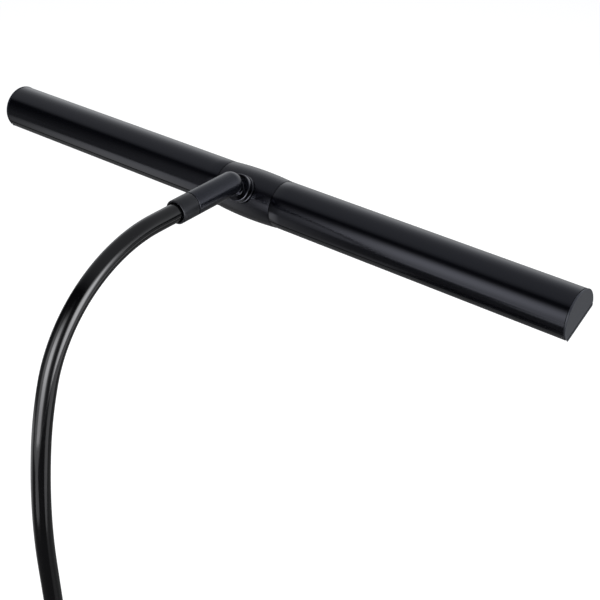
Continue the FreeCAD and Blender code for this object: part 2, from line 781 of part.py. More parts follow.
def make_sleeve():
    """The matte sleeve on the arm's end, and its grub screw."""
    front = -S.seam_gap / 2.0
    back = front - S.sleeve_length
    seat = front - S.sleeve_front
    bore = S.arm_radius + S.running_gap
    edge = S.sleeve_chamfer
    body = turned("sleeve_body", [
        (S.stud_radius + S.running_gap, front), (S.tube_radius - edge, front), (S.tube_radius, front - edge),
        (S.tube_radius, back + edge), (S.tube_radius - edge, back), (bore + S.sleeve_mouth, back),
        (bore, back + S.sleeve_mouth * 2.0), (bore, seat), (S.stud_radius + S.running_gap, seat)])
    body.Placement = along(on_tube(S.seam_reach), Y_AXIS)
    screw_place = on_tube(S.seam_reach) + Vector(0, -float(S.sleeve_length) / 2 - float(S.seam_gap) / 2, 0)
    down = Vector(0, 0, -1)
    tap = cylinder("sleeve_tap", S.grub_radius, S.tube_radius, screw_place, down)
    part("arm_sleeve", cut("sleeve_cut", body, tap))
    grub = cylinder("sleeve_grub", S.grub_radius, S.tube_radius - bore - S.running_gap * 2.0,
                    screw_place + down * float(bore), down)
    key = hexagon("sleeve_grub_key", S.grub_radius, S.grub_radius,
                  screw_place + down * (float(S.tube_radius) - float(S.grub_radius) * 0.6), down)
    part("sleeve_screw", cut("sleeve_screw_cut", grub, key))


def make_stud():
    """The stud pressed into the arm's end, on which the swivel tube turns, and its clip."""
    seat = -S.seam_gap / 2.0 - S.sleeve_front
    tip = S.seam_reach - S.stud_reach
    groove = S.stud_radius - S.clip_groove
    groove_start = tip - S.clip_thick * 2.0
    groove_end = groove_start + S.clip_thick + S.running_gap * 2.0
    body = turned("stud_body", [
        (S.stud_bore, seat - S.stud_depth), (S.arm_radius - S.arm_wall - S.running_gap, seat - S.stud_depth),
        (S.arm_radius - S.arm_wall - S.running_gap, seat), (S.stud_radius, seat),
        (S.stud_radius, groove_start), (groove, groove_start), (groove, groove_end),
        (S.stud_radius, groove_end), (S.stud_radius, tip), (S.stud_bore, tip)])
    part("swivel_stud", body, along(on_tube(S.seam_reach), Y_AXIS))
    clip = ring("stud_clip_body", groove + S.running_gap, S.stud_radius + S.clip_width, S.clip_thick,
                groove_start + S.running_gap)
    part("stud_clip", clip, along(on_tube(S.seam_reach), Y_AXIS))
    bush_start = S.seam_gap
    bush_end = groove_start - S.clip_gap * 0.5
    bush = ring("swivel_bush_body", S.stud_radius + S.running_gap, S.tube_bore - S.running_gap,
                bush_end - bush_start, bush_start)
    part("swivel_bush", bush, along(on_tube(S.seam_reach), Y_AXIS))


# ---------------------------------------------------------------- swivel tube and collar

def make_swivel_tube():
    """The short swivel tube with its round end, bored for the stud, the post and the lead."""
    back = S.seam_gap * 0.5
    length = S.seam_reach - S.dome_reach
    shaft = turned("tube_shaft", [
        (ZERO, back), (S.tube_radius - S.tube_chamfer, back),
        (S.tube_radius, back + S.tube_chamfer), (S.tube_radius, length), (ZERO, length)])
    shaft.Placement = along(on_tube(S.seam_reach), Y_AXIS)
    dome = doc.addObject("Part::Sphere", "tube_dome")
    dome.setExpression("Radius", written(S.tube_radius))
    dome.Placement = Placement(on_tube(S.dome_reach), Rotation())
    bore = cylinder("tube_bore", S.tube_bore, S.seam_reach - S.bore_end_reach, on_tube(S.seam_reach), Y_AXIS)
    lead_run = S.bore_end_reach - lead_crossing + S.lead_radius
    lead_way = cylinder("tube_lead_way", S.lead_radius * 2.0, lead_run, on_tube(S.bore_end_reach), Y_AXIS)
    neck_way = cylinder("tube_neck_way", S.post_neck_radius + S.running_gap, S.post_neck_end,
                        on_collar(0), collar_out)
    seat = cylinder("tube_seat", S.ring_radius + S.ring_gap, S.post_ring_end, on_collar(0), collar_out)
    blank = fuse("tube_blank", shaft, dome)
    part("swivel_tube", cut("tube_cut", blank, bore, lead_way, neck_way, seat))


def make_post():
    """The pivot post: its neck is screwed into the swivel tube and its shank passes into the hub."""
    edge = S.ring_chamfer
    under = S.hub_ring_end + S.ring_gap
    body = turned("post_body", [
        (S.post_bore, S.post_end), (S.post_radius, S.post_end), (S.post_radius, under),
        (S.ring_radius - edge, under), (S.ring_radius, under + edge),
        (S.ring_radius, S.post_ring_end - edge), (S.ring_radius - edge, S.post_ring_end),
        (S.post_neck_radius, S.post_ring_end), (S.post_neck_radius, S.post_neck_end),
        (S.post_bore, S.post_neck_end)])
    part("pivot_post", body, along(hub_centre, collar_out))
    washer = ring("pivot_washer_body", S.post_radius + S.running_gap, S.pivot_washer_radius,
                  S.pivot_washer_thick, S.pivot_seat - S.pivot_washer_thick - S.running_gap)
    part("pivot_washer", washer, along(hub_centre, collar_out))
    nut_end = S.pivot_seat - S.pivot_washer_thick - S.running_gap * 2.0
    blank = hexagon("pivot_nut_blank", S.pivot_nut_across, S.pivot_nut_thick,
                    on_collar(nut_end - S.pivot_nut_thick), collar_out)
    thread = cylinder("pivot_nut_bore", S.post_radius + S.running_gap, S.pivot_seat, on_collar(0), collar_out)
    part("pivot_nut", cut("pivot_nut_cut", blank, thread))


def make_swivel_lead():
    """The lead from the stud, round the bend of the swivel tube and down the post."""
    start = on_tube(S.stud_reach - S.lead_gap)
    corner = on_tube(lead_crossing)
    end = on_collar(S.post_end)
    edges = rounded_route([start, corner, end], [6.0])
    part("swivel_lead", swept("swivel_lead_bar", edges, S.lead_radius, start, Y_AXIS))


# ---------------------------------------------------------------- hub

def hub_blank(name):
    """The hub's outer form: a barrel about X that swells between its ends."""
    half = S.hub_length / 2.0
    edge = S.hub_chamfer
    body = turned(name, [
        (S.head_radius, -(half - edge)), (S.head_radius, half - edge), (S.head_radius - edge, half),
        (ZERO, half), (ZERO, -half), (S.head_radius - edge, -half)], S.hub_swell)
    body.Placement = along(hub_centre, X_AXIS)
    return body


def make_hub():
    """The hub, bored along X for the axle and across for the post, its collar ring and axle bushes."""
    half = S.hub_length / 2.0
    start = hub_centre - Vector(float(half), 0, 0)
    bore = cylinder("hub_bore_way", S.hub_bore, S.hub_length, start, X_AXIS)
    seat = cylinder("hub_pivot_seat", S.pivot_washer_radius + S.button_gap, S.pivot_seat, on_collar(0), collar_out)
    post_way = cylinder("hub_post_way", S.post_radius + S.running_gap, S.hub_ring_end, on_collar(0), collar_out)
    part("head_hub", cut("hub_cut", hub_blank("hub_body"), bore, seat, post_way))
    edge = S.ring_chamfer
    blank = turned("collar_ring_body", [
        (S.post_radius + S.running_gap, S.hub_bore), (S.ring_neck, S.hub_bore),
        (S.ring_neck, S.hub_ring_start), (S.ring_radius - edge, S.hub_ring_start),
        (S.ring_radius, S.hub_ring_start + edge), (S.ring_radius, S.hub_ring_end - edge),
        (S.ring_radius - edge, S.hub_ring_end), (S.post_radius + S.running_gap, S.hub_ring_end)])
    blank.Placement = along(hub_centre, collar_out)
    part("collar_ring", cut("collar_ring_cut", blank, hub_blank("collar_saddle")))
    bushes = []
    for side, sign in SIDES.items():
        bush = ring("axle_bush_" + side, S.axle_radius + S.running_gap, S.hub_bore - S.running_gap,
                    S.bush_length, half - S.bush_length + S.running_gap * 2.0)
        bush.Placement = along(hub_centre, X_AXIS * sign)
        bushes.append(bush)
    part("axle_bushes", group("axle_bush_group", bushes))


# ---------------------------------------------------------------- light bar, built lying flat side down

bar_start = S.hub_length / 2.0 + S.hub_gap
bar_end = S.head_length / 2.0 - S.cap_thick
plug_end = bar_start + S.plug_length
inner_radius = S.head_radius - S.profile_wall
chamber_floor = -S.flat_depth + S.lip_thick


def bar_box(name, side, start, end, half_width, low, high):
    """A block along the bar, by its distances from the hub's middle."""
    sign = SIDES[side]
    low_x = float(start) if sign > 0 else -float(end)
    return box(name, end - start, half_width * 2.0, high - low, Vector(low_x, -float(half_width), float(low)))


def bar_round(name, side, start, end, radius):
    """A round bar along X, by its distances from the hub's middle."""
    sign = SIDES[side]
    return cylinder(name, radius, end - start, Vector(sign * float(start), 0, 0), X_AXIS * sign)


def segment(name, side, start, end, radius, low, high):
    """The slice of a round bar along X between two heights."""
    slab = bar_box(name + "_slab", side, start, end, radius * 1.1, low, high)
    return common(name, bar_round(name + "_round", side, start, end, radius), slab)


def make_housing(side):
    """One half of the extruded D profile: a light chamber below a shelf, and a hollow back above it."""
    top = S.head_radius * 1.1
    outer = segment(side + "_profile", side, bar_start, bar_end, S.head_radius, -S.flat_depth, top)
    chamber = segment(side + "_chamber", side, bar_start, bar_end, inner_radius, chamber_floor, S.shelf_height)
    back = segment(side + "_back", side, bar_start, bar_end, inner_radius, S.shelf_height + S.shelf_thick, top)
    slot = bar_box(side + "_slot", side, bar_start, bar_end, S.slot_half_width, -S.head_radius,
                   chamber_floor + S.lip_thick)
    for_plug = segment(side + "_plug_room", side, bar_start, plug_end, inner_radius, chamber_floor, top)
    housing = cut(side + "_housing_cut", outer, chamber, back, slot, for_plug)
    part(side + "_housing", housing, head_place)


def make_plug(side):
    """The block that closes the profile at the hub and carries the axle, with its grub screw."""
    top = S.head_radius * 1.1
    block = segment(side + "_plug_block", side, bar_start, plug_end - S.plug_gap, inner_radius - S.plug_gap,
                    chamber_floor + S.plug_gap, top)
    rib = bar_box(side + "_plug_rib", side, bar_start, plug_end - S.plug_gap, S.slot_half_width - S.plug_gap,
                  -S.flat_depth + S.plug_gap, chamber_floor + S.lip_thick)
    axle_way = bar_round(side + "_plug_axle_way", side, S.hub_bore, S.head_length, S.axle_radius + S.running_gap)
    recess = bar_round(side + "_plug_recess", side, S.hub_bore, bar_start + S.washer_thick,
                       S.washer_radius + S.plug_gap)
    sign = SIDES[side]
    tap_place = Vector(sign * (float(bar_start) + float(S.plug_length) / 2), 0, -float(S.axle_radius))
    down = Vector(0, 0, -1)
    tap = cylinder(side + "_plug_tap", S.grub_radius, S.head_radius, tap_place, down)
    block_with_rib = fuse(side + "_plug_blank", block, rib)
    part(side + "_plug", cut(side + "_plug_cut", block_with_rib, axle_way, recess, tap), head_place)
    length = S.flat_depth - S.axle_radius - S.plug_gap * 4.0
    grub = cylinder(side + "_plug_grub", S.grub_radius, length,
                    tap_place + down * float(S.running_gap), down)
    return grub


def make_cap(side):
    """The end cap: a D plate a little larger than the profile, with spigots inside it."""
    outline = S.head_radius + S.cap_overlap
    top = outline * 1.1
    face = segment(side + "_cap_face", side, bar_end, bar_end + S.cap_thick, outline,
                   -(S.flat_depth + S.cap_overlap), top)
    start = bar_end - S.cap_spigot
    gap = S.plug_gap
    upper = segment(side + "_cap_spigot", side, start, bar_end + S.plug_gap, inner_radius - gap,
                    S.shelf_height + S.shelf_thick + gap, top)
    part(side + "_end_cap", fuse(side + "_cap", face, upper), head_place)


def make_light(side):
    """The diffuser strip, the board and its row of light emitters."""
    gap = S.plug_gap
    start = plug_end + gap
    end = bar_end - gap
    diffuser = bar_box(side + "_diffuser_strip", side, start, end, S.diffuser_half_width, chamber_floor,
                       chamber_floor + S.diffuser_thick)
    part(side + "_diffuser", diffuser, head_place)
    board = bar_box(side + "_board_strip", side, start, end, S.board_half_width,
                    S.shelf_height - S.board_thick, S.shelf_height)
    part(side + "_led_board", board, head_place)
    count = int(float(S.led_count))
    first = float(start + S.led_margin)
    pitch = (float(end - S.led_margin) - first) / (count - 1)
    under_board = float(S.shelf_height - S.board_thick - S.led_thick)
    chips = []
    for number in range(count):
        x = SIDES[side] * (first + number * pitch)
        corner = Vector(x - float(S.led_length) / 2, -float(S.led_width) / 2, under_board)
        chips.append(box("%s_led_%d" % (side, number), S.led_length, S.led_width, S.led_thick, corner))
    part(side + "_leds", group(side + "_led_group", chips), head_place)


def make_axle():
    """The hollow axle that joins both halves through the hub, its friction washers and the lead inside."""
    half = S.axle_length / 2.0
    tube = turned("axle_body", [
        (S.axle_radius, -half), (S.axle_radius, half), (S.axle_bore, half), (S.axle_bore, -half)])
    tube.Placement = along(Vector(0, 0, 0), X_AXIS)
    window_half = S.lead_radius * 2.0
    window = box("axle_window", window_half * 2.0, S.axle_radius * 4.0, S.axle_radius,
                 Vector(-float(window_half), -float(S.axle_radius) * 2, float(S.axle_bore) * 0.4))
    part("head_axle", cut("axle_cut", tube, window), head_place)
    washers = []
    for side, sign in SIDES.items():
        washer = ring("tilt_washer_" + side, S.axle_radius + S.plug_gap, S.washer_radius,
                      S.washer_thick - S.running_gap, bar_start + S.running_gap * 0.4)
        washer.Placement = along(Vector(0, 0, 0), X_AXIS * sign)
        washers.append(washer)
    part("tilt_washers", group("tilt_washer_group", washers), head_place)
    low = -float(S.axle_bore) + float(S.lead_radius) + 0.1
    reach = float(plug_end) + 3.0
    start = Vector(-reach, 0, low)
    end = Vector(reach, 0, low)
    lead = swept("head_lead_bar", [Part.LineSegment(start, end).toShape()], S.lead_radius, start, X_AXIS)
    part("head_lead", lead, head_place)


make_cover()
make_pad()
make_plate()
make_plate_screws()
make_weight()
make_socket()
make_electrics()
make_button()
make_base_lead()
make_arm()
make_arm_lead()
make_sleeve()
make_stud()
make_swivel_tube()
make_post()
make_swivel_lead()
make_hub()
grubs = []
for bar_side in SIDES:
    make_housing(bar_side)
    grubs.append(make_plug(bar_side))
    make_cap(bar_side)
    make_light(bar_side)
part("plug_screws", group("plug_screw_group", grubs), head_place)
make_axle()
doc.recompute()

# ---------------------------------------------------------------- checks and export

for item in doc.Objects:
    if "Invalid" in item.State or "Error" in item.State:
        raise RuntimeError("%s failed: %s" % (item.Name, item.State))
for label, item in parts.items():
    if item.Shape.isNull() or not item.Shape.isValid() or not item.Shape.Solids:
        raise RuntimeError("%s has no valid solid" % label)

os.makedirs("parts", exist_ok=True)
for label, item in parts.items():
    item.Shape.exportStep("parts/%s.step" % label)

print("hub centre %.2f %.2f %.2f" % tuple(hub_centre))
print("%d sub-parts written" % len(parts))
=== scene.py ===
"""Piano lamp: a long light bar of D section on a swivelling hub, a bent arm and a flat weighted base.

Lengths are in millimetres in the frame of the solids: +Z up, +X along the light bar, +Y from the arm's foot
towards the bar. Only the finished meshes, lamps and camera are in metres.
"""

import json
import logging
import math
from dataclasses import dataclass, field
from enum import Enum
from typing import Mapping, Optional, Sequence, Union

import bmesh
import bpy
import numpy as np
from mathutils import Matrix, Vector
from mathutils.geometry import tessellate_polygon


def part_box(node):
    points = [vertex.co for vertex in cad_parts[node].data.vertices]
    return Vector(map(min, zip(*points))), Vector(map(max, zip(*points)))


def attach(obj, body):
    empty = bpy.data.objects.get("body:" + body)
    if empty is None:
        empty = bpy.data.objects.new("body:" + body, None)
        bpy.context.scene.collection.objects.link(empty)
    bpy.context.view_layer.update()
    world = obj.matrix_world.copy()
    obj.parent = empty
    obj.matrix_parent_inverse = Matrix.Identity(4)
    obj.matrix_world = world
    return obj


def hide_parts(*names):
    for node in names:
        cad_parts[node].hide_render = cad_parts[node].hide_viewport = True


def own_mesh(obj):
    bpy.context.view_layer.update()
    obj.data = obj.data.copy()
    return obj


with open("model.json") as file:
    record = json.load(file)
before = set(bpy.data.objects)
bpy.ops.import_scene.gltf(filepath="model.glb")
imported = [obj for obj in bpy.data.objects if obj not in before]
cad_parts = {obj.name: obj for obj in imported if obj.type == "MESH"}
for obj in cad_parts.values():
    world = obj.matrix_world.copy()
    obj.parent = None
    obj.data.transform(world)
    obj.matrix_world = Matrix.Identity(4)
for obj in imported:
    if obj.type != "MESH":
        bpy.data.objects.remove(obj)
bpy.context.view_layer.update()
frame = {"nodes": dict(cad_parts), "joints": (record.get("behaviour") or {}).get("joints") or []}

LOG = logging.getLogger("piano_lamp")
MM = 0.001
TINY = 1e-9
MERGE_UNDER = 2e-6
COLLAPSE_UNDER = 1e-7
SMOOTH_UNDER = 32.0
TURNED_SMOOTH_UNDER = 28.0
FLAT_WEIGHT = 80
NEARLY_ALONG = 0.9
FULL_TURN = 2 * math.pi
RIGHT = (1.0, 0.0, 0.0)
AHEAD = (0.0, 1.0, 0.0)
UP = (0.0, 0.0, 1.0)

Colour = tuple[float, float, float]
Pairs = tuple[tuple[float, float], ...]
Corners = tuple[tuple[float, float, float], ...]
Inputs = Mapping[Union[str, int], object]
Piece = bpy.types.Object
Tree = bpy.types.NodeTree
Socket = bpy.types.NodeSocket


# ---------------------------------------------------------------- places read from the solids

class Joint(Enum):
    """The joints that turn, by the names that the solids give them."""

    ARM = "arm_swivel"
    TUBE = "swivel_turn"
    HUB = "hub_turn"
    BAR = "head_tilt"


def joint_entry(joint: Joint) -> dict:
    """What the frame says of a joint."""
    return next(item for item in frame["joints"] if item["name"] == joint.value)


def joint_place(joint: Joint) -> np.ndarray:
    """A point on a joint's axis, in millimetres."""
    return np.array(joint_entry(joint)["pos_m"], dtype=float) / MM


def joint_axis(joint: Joint) -> np.ndarray:
    """The unit vector along a joint's axis."""
    axis = np.array(joint_entry(joint)["axis"], dtype=float)
    return axis / np.linalg.norm(axis)


def node_box(node: str) -> tuple[np.ndarray, np.ndarray]:
    """The lowest and highest corners of a solid, in millimetres."""
    low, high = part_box(node)
    return np.array(low, dtype=float) / MM, np.array(high, dtype=float) / MM


def node_middle(node: str) -> np.ndarray:
    """The middle of a solid's box, in millimetres."""
    low, high = node_box(node)
    return (low + high) / 2


@dataclass(frozen=True)
class Axes:
    """A local frame: points (a, b, c) lie at origin + a u + b v + c w."""

    origin: np.ndarray
    u: np.ndarray
    v: np.ndarray
    w: np.ndarray

    def place(self, points: np.ndarray) -> np.ndarray:
        """Carry local points, in the last axis of any array, into the lamp's frame."""
        return self.origin + points @ np.stack([self.u, self.v, self.w])


def axes_along(origin: Sequence[float], along: Sequence[float]) -> Axes:
    """A frame whose w runs along a direction, with u as near to +X as it can be, or to +Y if w runs that way.

    Args:
        origin: The frame's origin.
        along: The direction of w.

    Returns:
        The frame.
    """
    w = np.array(along, dtype=float) / np.linalg.norm(along)
    near = np.array(AHEAD if abs(w @ RIGHT) > NEARLY_ALONG else RIGHT)
    v = np.cross(w, near)
    v /= np.linalg.norm(v)
    return Axes(np.array(origin, dtype=float), np.cross(v, w), v, w)


def upright(place: np.ndarray) -> Axes:
    """The frame at zero height under a place, with w up."""
    return axes_along((place[0], place[1], 0.0), UP)


# ---------------------------------------------------------------- outlines and surfaces

def quarter(points: int) -> np.ndarray:
    """Angles over a quarter turn."""
    return np.linspace(0, math.pi / 2, points)


def on_circle(radius: Union[float, np.ndarray], angle: np.ndarray, centre: tuple[float, float] = (0.0, 0.0)
              ) -> np.ndarray:
    """Points on a circle: centre + r (cos a, sin a).

    Args:
        radius: The radius, or one for each angle.
        angle: The angles.
        centre: The circle's centre.

    Returns:
        The points, of shape (n, 2).
    """
    return np.array(centre) + np.stack([radius * np.cos(angle), radius * np.sin(angle)], axis=1)


def rounded(corners: Sequence[tuple[float, float, float]], steps: int = 7) -> np.ndarray:
    """A closed outline through corners, each rounded by the arc that is tangent to both its sides.

    The arc of radius r at a corner of half angle h starts r / tan(h) before the corner, and its centre lies
    on the corner's bisector at r / sin(h).

    Args:
        corners: Corners as (a, b, radius), in order.
        steps: Points along each arc.

    Returns:
        The outline as an array of shape (n, 2).
    """
    points = []
    places = np.array([corner[:2] for corner in corners], dtype=float)
    for index, (_, _, radius) in enumerate(corners):
        corner = places[index]
        back = places[index - 1] - corner
        ahead = places[(index + 1) % len(corners)] - corner
        if radius <= 0 or np.linalg.norm(back) < TINY or np.linalg.norm(ahead) < TINY:
            points.append(corner[None])
            continue
        back, ahead = back / np.linalg.norm(back), ahead / np.linalg.norm(ahead)
        half = math.acos(float(np.clip(back @ ahead, -1, 1))) / 2
        centre = corner + (back + ahead) / np.linalg.norm(back + ahead) * radius / math.sin(half)
        first = corner + back * radius / math.tan(half) - centre
        last = corner + ahead * radius / math.tan(half) - centre
        share = np.linspace(0, 1, steps)[:, None]
        opening = math.pi - 2 * half
        arc = (np.sin((1 - share) * opening) * first + np.sin(share * opening) * last) / math.sin(opening)
        points.append(centre + arc)
    return np.concatenate(points)


def inset(outline: np.ndarray, distance: float) -> np.ndarray:
    """A closed outline moved inwards along its own normals, which are its tangents turned a quarter.

    Args:
        outline: An anticlockwise outline of shape (n, 2).
        distance: How far each point moves in.

    Returns:
        The moved outline.
    """
    tangent = np.roll(outline, -1, axis=0) - np.roll(outline, 1, axis=0)
    tangent /= np.linalg.norm(tangent, axis=1)[:, None]
    return outline + distance * np.stack([-tangent[:, 1], tangent[:, 0]], axis=1)


class Shell:
    """Gathers grids and flat faces in millimetres and makes one closed mesh object of them."""

    def __init__(self) -> None:
        """Start with no points and no faces."""
        self.points: list[np.ndarray] = []
        self.faces: list[list[int]] = []
        self.count = 0

    def grid(self, points: np.ndarray, close_rows: bool = False, close_columns: bool = False) -> "Shell":
        """Add the quads between neighbouring points of a grid.

        Args:
            points: The grid, of shape (rows, columns, 3).
            close_rows: Join the last row to the first.
            close_columns: Join the last column to the first.

        Returns:
            The shell itself.
        """
        index = np.arange(points.shape[0] * points.shape[1]).reshape(points.shape[:2]) + self.count
        if close_rows:
            index = np.vstack([index, index[:1]])
        if close_columns:
            index = np.hstack([index, index[:, :1]])
        quads = np.stack([index[:-1, :-1], index[1:, :-1], index[1:, 1:], index[:-1, 1:]], axis=-1)
        self.faces.extend(quads.reshape(-1, 4).tolist())
        self.points.append(points.reshape(-1, 3))
        self.count += points.shape[0] * points.shape[1]
        return self

    def flat(self, *loops: np.ndarray) -> "Shell":
        """Add a flat face bounded by one outline, with the others as holes in it.

        Args:
            loops: Outlines of shape (n, 3), the outer one first.

        Returns:
            The shell itself.
        """
        triangles = tessellate_polygon([[Vector(point) for point in loop] for loop in loops])
        points = np.concatenate(loops)
        self.faces.extend([[corner + self.count for corner in triangle] for triangle in triangles])
        self.points.append(points)
        self.count += len(points)
        return self

    def bar(self, points: np.ndarray) -> "Shell":
        """Add a closed bar: the quads of a grid whose columns join, and a flat face at either end."""
        return self.grid(points, close_columns=True).flat(points[0]).flat(points[-1])

    def build(self, name: str, smooth_under: float = SMOOTH_UNDER) -> Piece:
        """Make the mesh object, with doubled points merged and faces turned outwards.

        Args:
            name: The object's name.
            smooth_under: Edges that turn by less than this many degrees are shaded smooth.

        Returns:
            The object, at the origin.
        """
        mesh = bpy.data.meshes.new(name)
        mesh.from_pydata((np.concatenate(self.points) * MM).tolist(), [], self.faces)
        work = bmesh.new()
        work.from_mesh(mesh)
        bmesh.ops.remove_doubles(work, verts=work.verts, dist=MERGE_UNDER)
        bmesh.ops.dissolve_degenerate(work, edges=work.edges, dist=COLLAPSE_UNDER)
        bmesh.ops.recalc_face_normals(work, faces=work.faces)
        work.to_mesh(mesh)
        work.free()
        mesh.shade_smooth()
        mesh.set_sharp_from_angle(angle=math.radians(smooth_under))
        piece = bpy.data.objects.new(name, mesh)
        bpy.context.collection.objects.link(piece)
        return piece


def turned(name: str, profile: np.ndarray, axes: Axes, segments: int = 128, hollow: bool = True) -> Piece:
    """A turned piece: each point (r, h) of its profile becomes the ring r cos(a) u + r sin(a) v + h w.

    Args:
        name: The piece's name.
        profile: The profile as (radius, height) pairs.
        axes: The frame that it turns in.
        segments: Points round each ring.
        hollow: Whether the profile closes on itself. A solid's starts and ends on the axis instead.

    Returns:
        The piece.
    """
    angle = np.linspace(0, FULL_TURN, segments, endpoint=False)[:, None]
    radius, height = profile[None, :, 0], profile[None, :, 1]
    grid = np.stack([radius * np.cos(angle), radius * np.sin(angle), height + 0 * angle], axis=-1)
    shell = Shell().grid(axes.place(grid), close_rows=True, close_columns=hollow)
    return shell.build(name, TURNED_SMOOTH_UNDER)


def drill(axes: Axes, radius: float, start: float, end: float, segments: int = 48) -> Piece:
    """A closed round bar along a frame's w, for cutting a hole.

    Args:
        axes: The frame.
        radius: The hole's radius.
        start: Where the bar starts along w.
        end: Where it ends.
        segments: Points round it.

    Returns:
        The bar.
    """
    profile = np.array([(0, start), (radius, start), (radius, end), (0, end)])
    return turned("drill", profile, axes, segments, hollow=False)


def bored(piece: Piece, *drills: Piece) -> Piece:
    """Cut holes in a piece by taking other closed shapes out of it.

    Args:
        piece: The piece to cut.
        drills: Closed shapes, which are used up.

    Returns:
        The piece with its new mesh.
    """
    for drill_bar in drills:
        modifier = piece.modifiers.new("hole", "BOOLEAN")
        modifier.operation = "DIFFERENCE"
        modifier.solver = "EXACT"
        modifier.object = drill_bar
    shaped = piece.evaluated_get(bpy.context.evaluated_depsgraph_get())
    mesh = bpy.data.meshes.new_from_object(shaped)
    piece.modifiers.clear()
    old, piece.data = piece.data, mesh
    bpy.data.meshes.remove(old)
    for drill_bar in drills:
        bpy.data.objects.remove(drill_bar)
    mesh.set_sharp_from_angle(angle=math.radians(SMOOTH_UNDER))
    return piece


def weighted(piece: Piece) -> Piece:
    """Let a piece's large flat faces set the shading beside its small round ones.

    Args:
        piece: The piece.

    Returns:
        The same piece, with the modifier that does it.
    """
    modifier = piece.modifiers.new("even_shading", "WEIGHTED_NORMAL")
    modifier.keep_sharp = True
    modifier.weight = FLAT_WEIGHT
    return piece


# ---------------------------------------------------------------- shader nodes

def feed(node: bpy.types.Node, inputs: Inputs) -> None:
    """Give a node's inputs their values, or the sockets that feed them.

    Args:
        node: The node.
        inputs: A value or another node's output for each input, by the input's name or number.
    """
    for key, value in inputs.items():
        if isinstance(value, Socket):
            node.id_data.links.new(value, node.inputs[key])
        else:
            node.inputs[key].default_value = value


def add_node(tree: Tree, kind: str, inputs: Optional[Inputs] = None, **settings: object) -> bpy.types.Node:
    """Add a shader node.

    Args:
        tree: The tree that it goes in.
        kind: Its type, without the word ShaderNode.
        inputs: What its inputs are fed with.
        settings: Its own settings, which are made first because they choose its sockets.

    Returns:
        The node.
    """
    node = tree.nodes.new("ShaderNode" + kind)
    for setting, value in settings.items():
        setattr(node, setting, value)
    feed(node, inputs or {})
    return node


def worked_out(tree: Tree, operation: str, *values: Union[float, Socket]) -> Socket:
    """The result of a Math node on values or sockets."""
    return add_node(tree, "Math", dict(enumerate(values)), operation=operation).outputs[0]


def new_material(name: str) -> tuple[bpy.types.Material, Tree, bpy.types.Node]:
    """A new material, with its tree and its shader."""
    material = bpy.data.materials.new(name)
    material.use_nodes = True
    return material, material.node_tree, material.node_tree.nodes["Principled BSDF"]


def grey(level: float) -> tuple[float, float, float, float]:
    """The grey of a level."""
    return level, level, level, 1.0


# ---------------------------------------------------------------- finishes

class Groups:
    """The shader node groups that several finishes share."""

    patch_detail: float = 4.0
    patch_roughness: float = 0.6
    grain_detail: float = 3.0

    def __init__(self) -> None:
        """Build each group once."""
        self.patches = self._patches()
        self.grain = self._grain()

    @staticmethod
    def _new(name: str, inputs: Mapping[str, str], outputs: Mapping[str, str]
             ) -> tuple[Tree, bpy.types.NodeOutputs, bpy.types.Node]:
        """Make an empty group with named sockets.

        Args:
            name: The group's name.
            inputs: The type of each socket going in, by its name.
            outputs: The type of each socket coming out, by its name.

        Returns:
            The tree, what comes into it, and its output node.
        """
        tree = bpy.data.node_groups.new(name, "ShaderNodeTree")
        for direction, sockets in (("INPUT", inputs), ("OUTPUT", outputs)):
            for socket, kind in sockets.items():
                tree.interface.new_socket(name=socket, in_out=direction, socket_type="NodeSocket" + kind)
        return tree, tree.nodes.new("NodeGroupInput").outputs, tree.nodes.new("NodeGroupOutput")

    def _patches(self) -> Tree:
        """Soft patches from one noise, which mixes two colours and lets the gloss drift about its middle."""
        tree, given, out = self._new(
            "soft_patches",
            {"Vector": "Vector", "Scale": "Float", "Colour": "Color", "Shade": "Color", "Roughness": "Float",
             "Drift": "Float"},
            {"Color": "Color", "Roughness": "Float"})
        noise = add_node(tree, "TexNoise", {
            "Vector": given["Vector"], "Scale": given["Scale"], "Detail": self.patch_detail,
            "Roughness": self.patch_roughness}).outputs["Fac"]
        mix = add_node(tree, "Mix", {"Factor": noise, "A": given["Colour"], "B": given["Shade"]},
                       data_type="RGBA")
        spread = worked_out(tree, "SUBTRACT", noise, 0.5)
        gloss = worked_out(tree, "MULTIPLY_ADD", spread, given["Drift"], given["Roughness"])
        feed(out, {"Color": mix.outputs["Result"], "Roughness": gloss})
        return tree

    def _grain(self) -> Tree:
        """Fine relief: noise that a vector stretches, with a share of sharper specks."""
        tree, given, out = self._new(
            "fine_grain", {"Vector": "Vector", "Stretch": "Vector", "Scale": "Float", "Specks": "Float"},
            {"Height": "Float"})
        stretched = add_node(tree, "VectorMath", {0: given["Vector"], 1: given["Stretch"]},
                             operation="MULTIPLY").outputs["Vector"]
        place = {"Vector": stretched, "Scale": given["Scale"]}
        soft = add_node(tree, "TexNoise", {**place, "Detail": self.grain_detail}).outputs["Fac"]
        cells = add_node(tree, "TexVoronoi", place, feature="SMOOTH_F1").outputs["Distance"]
        feed(out, {"Height": worked_out(tree, "MULTIPLY_ADD", cells, given["Specks"], soft)})
        return tree


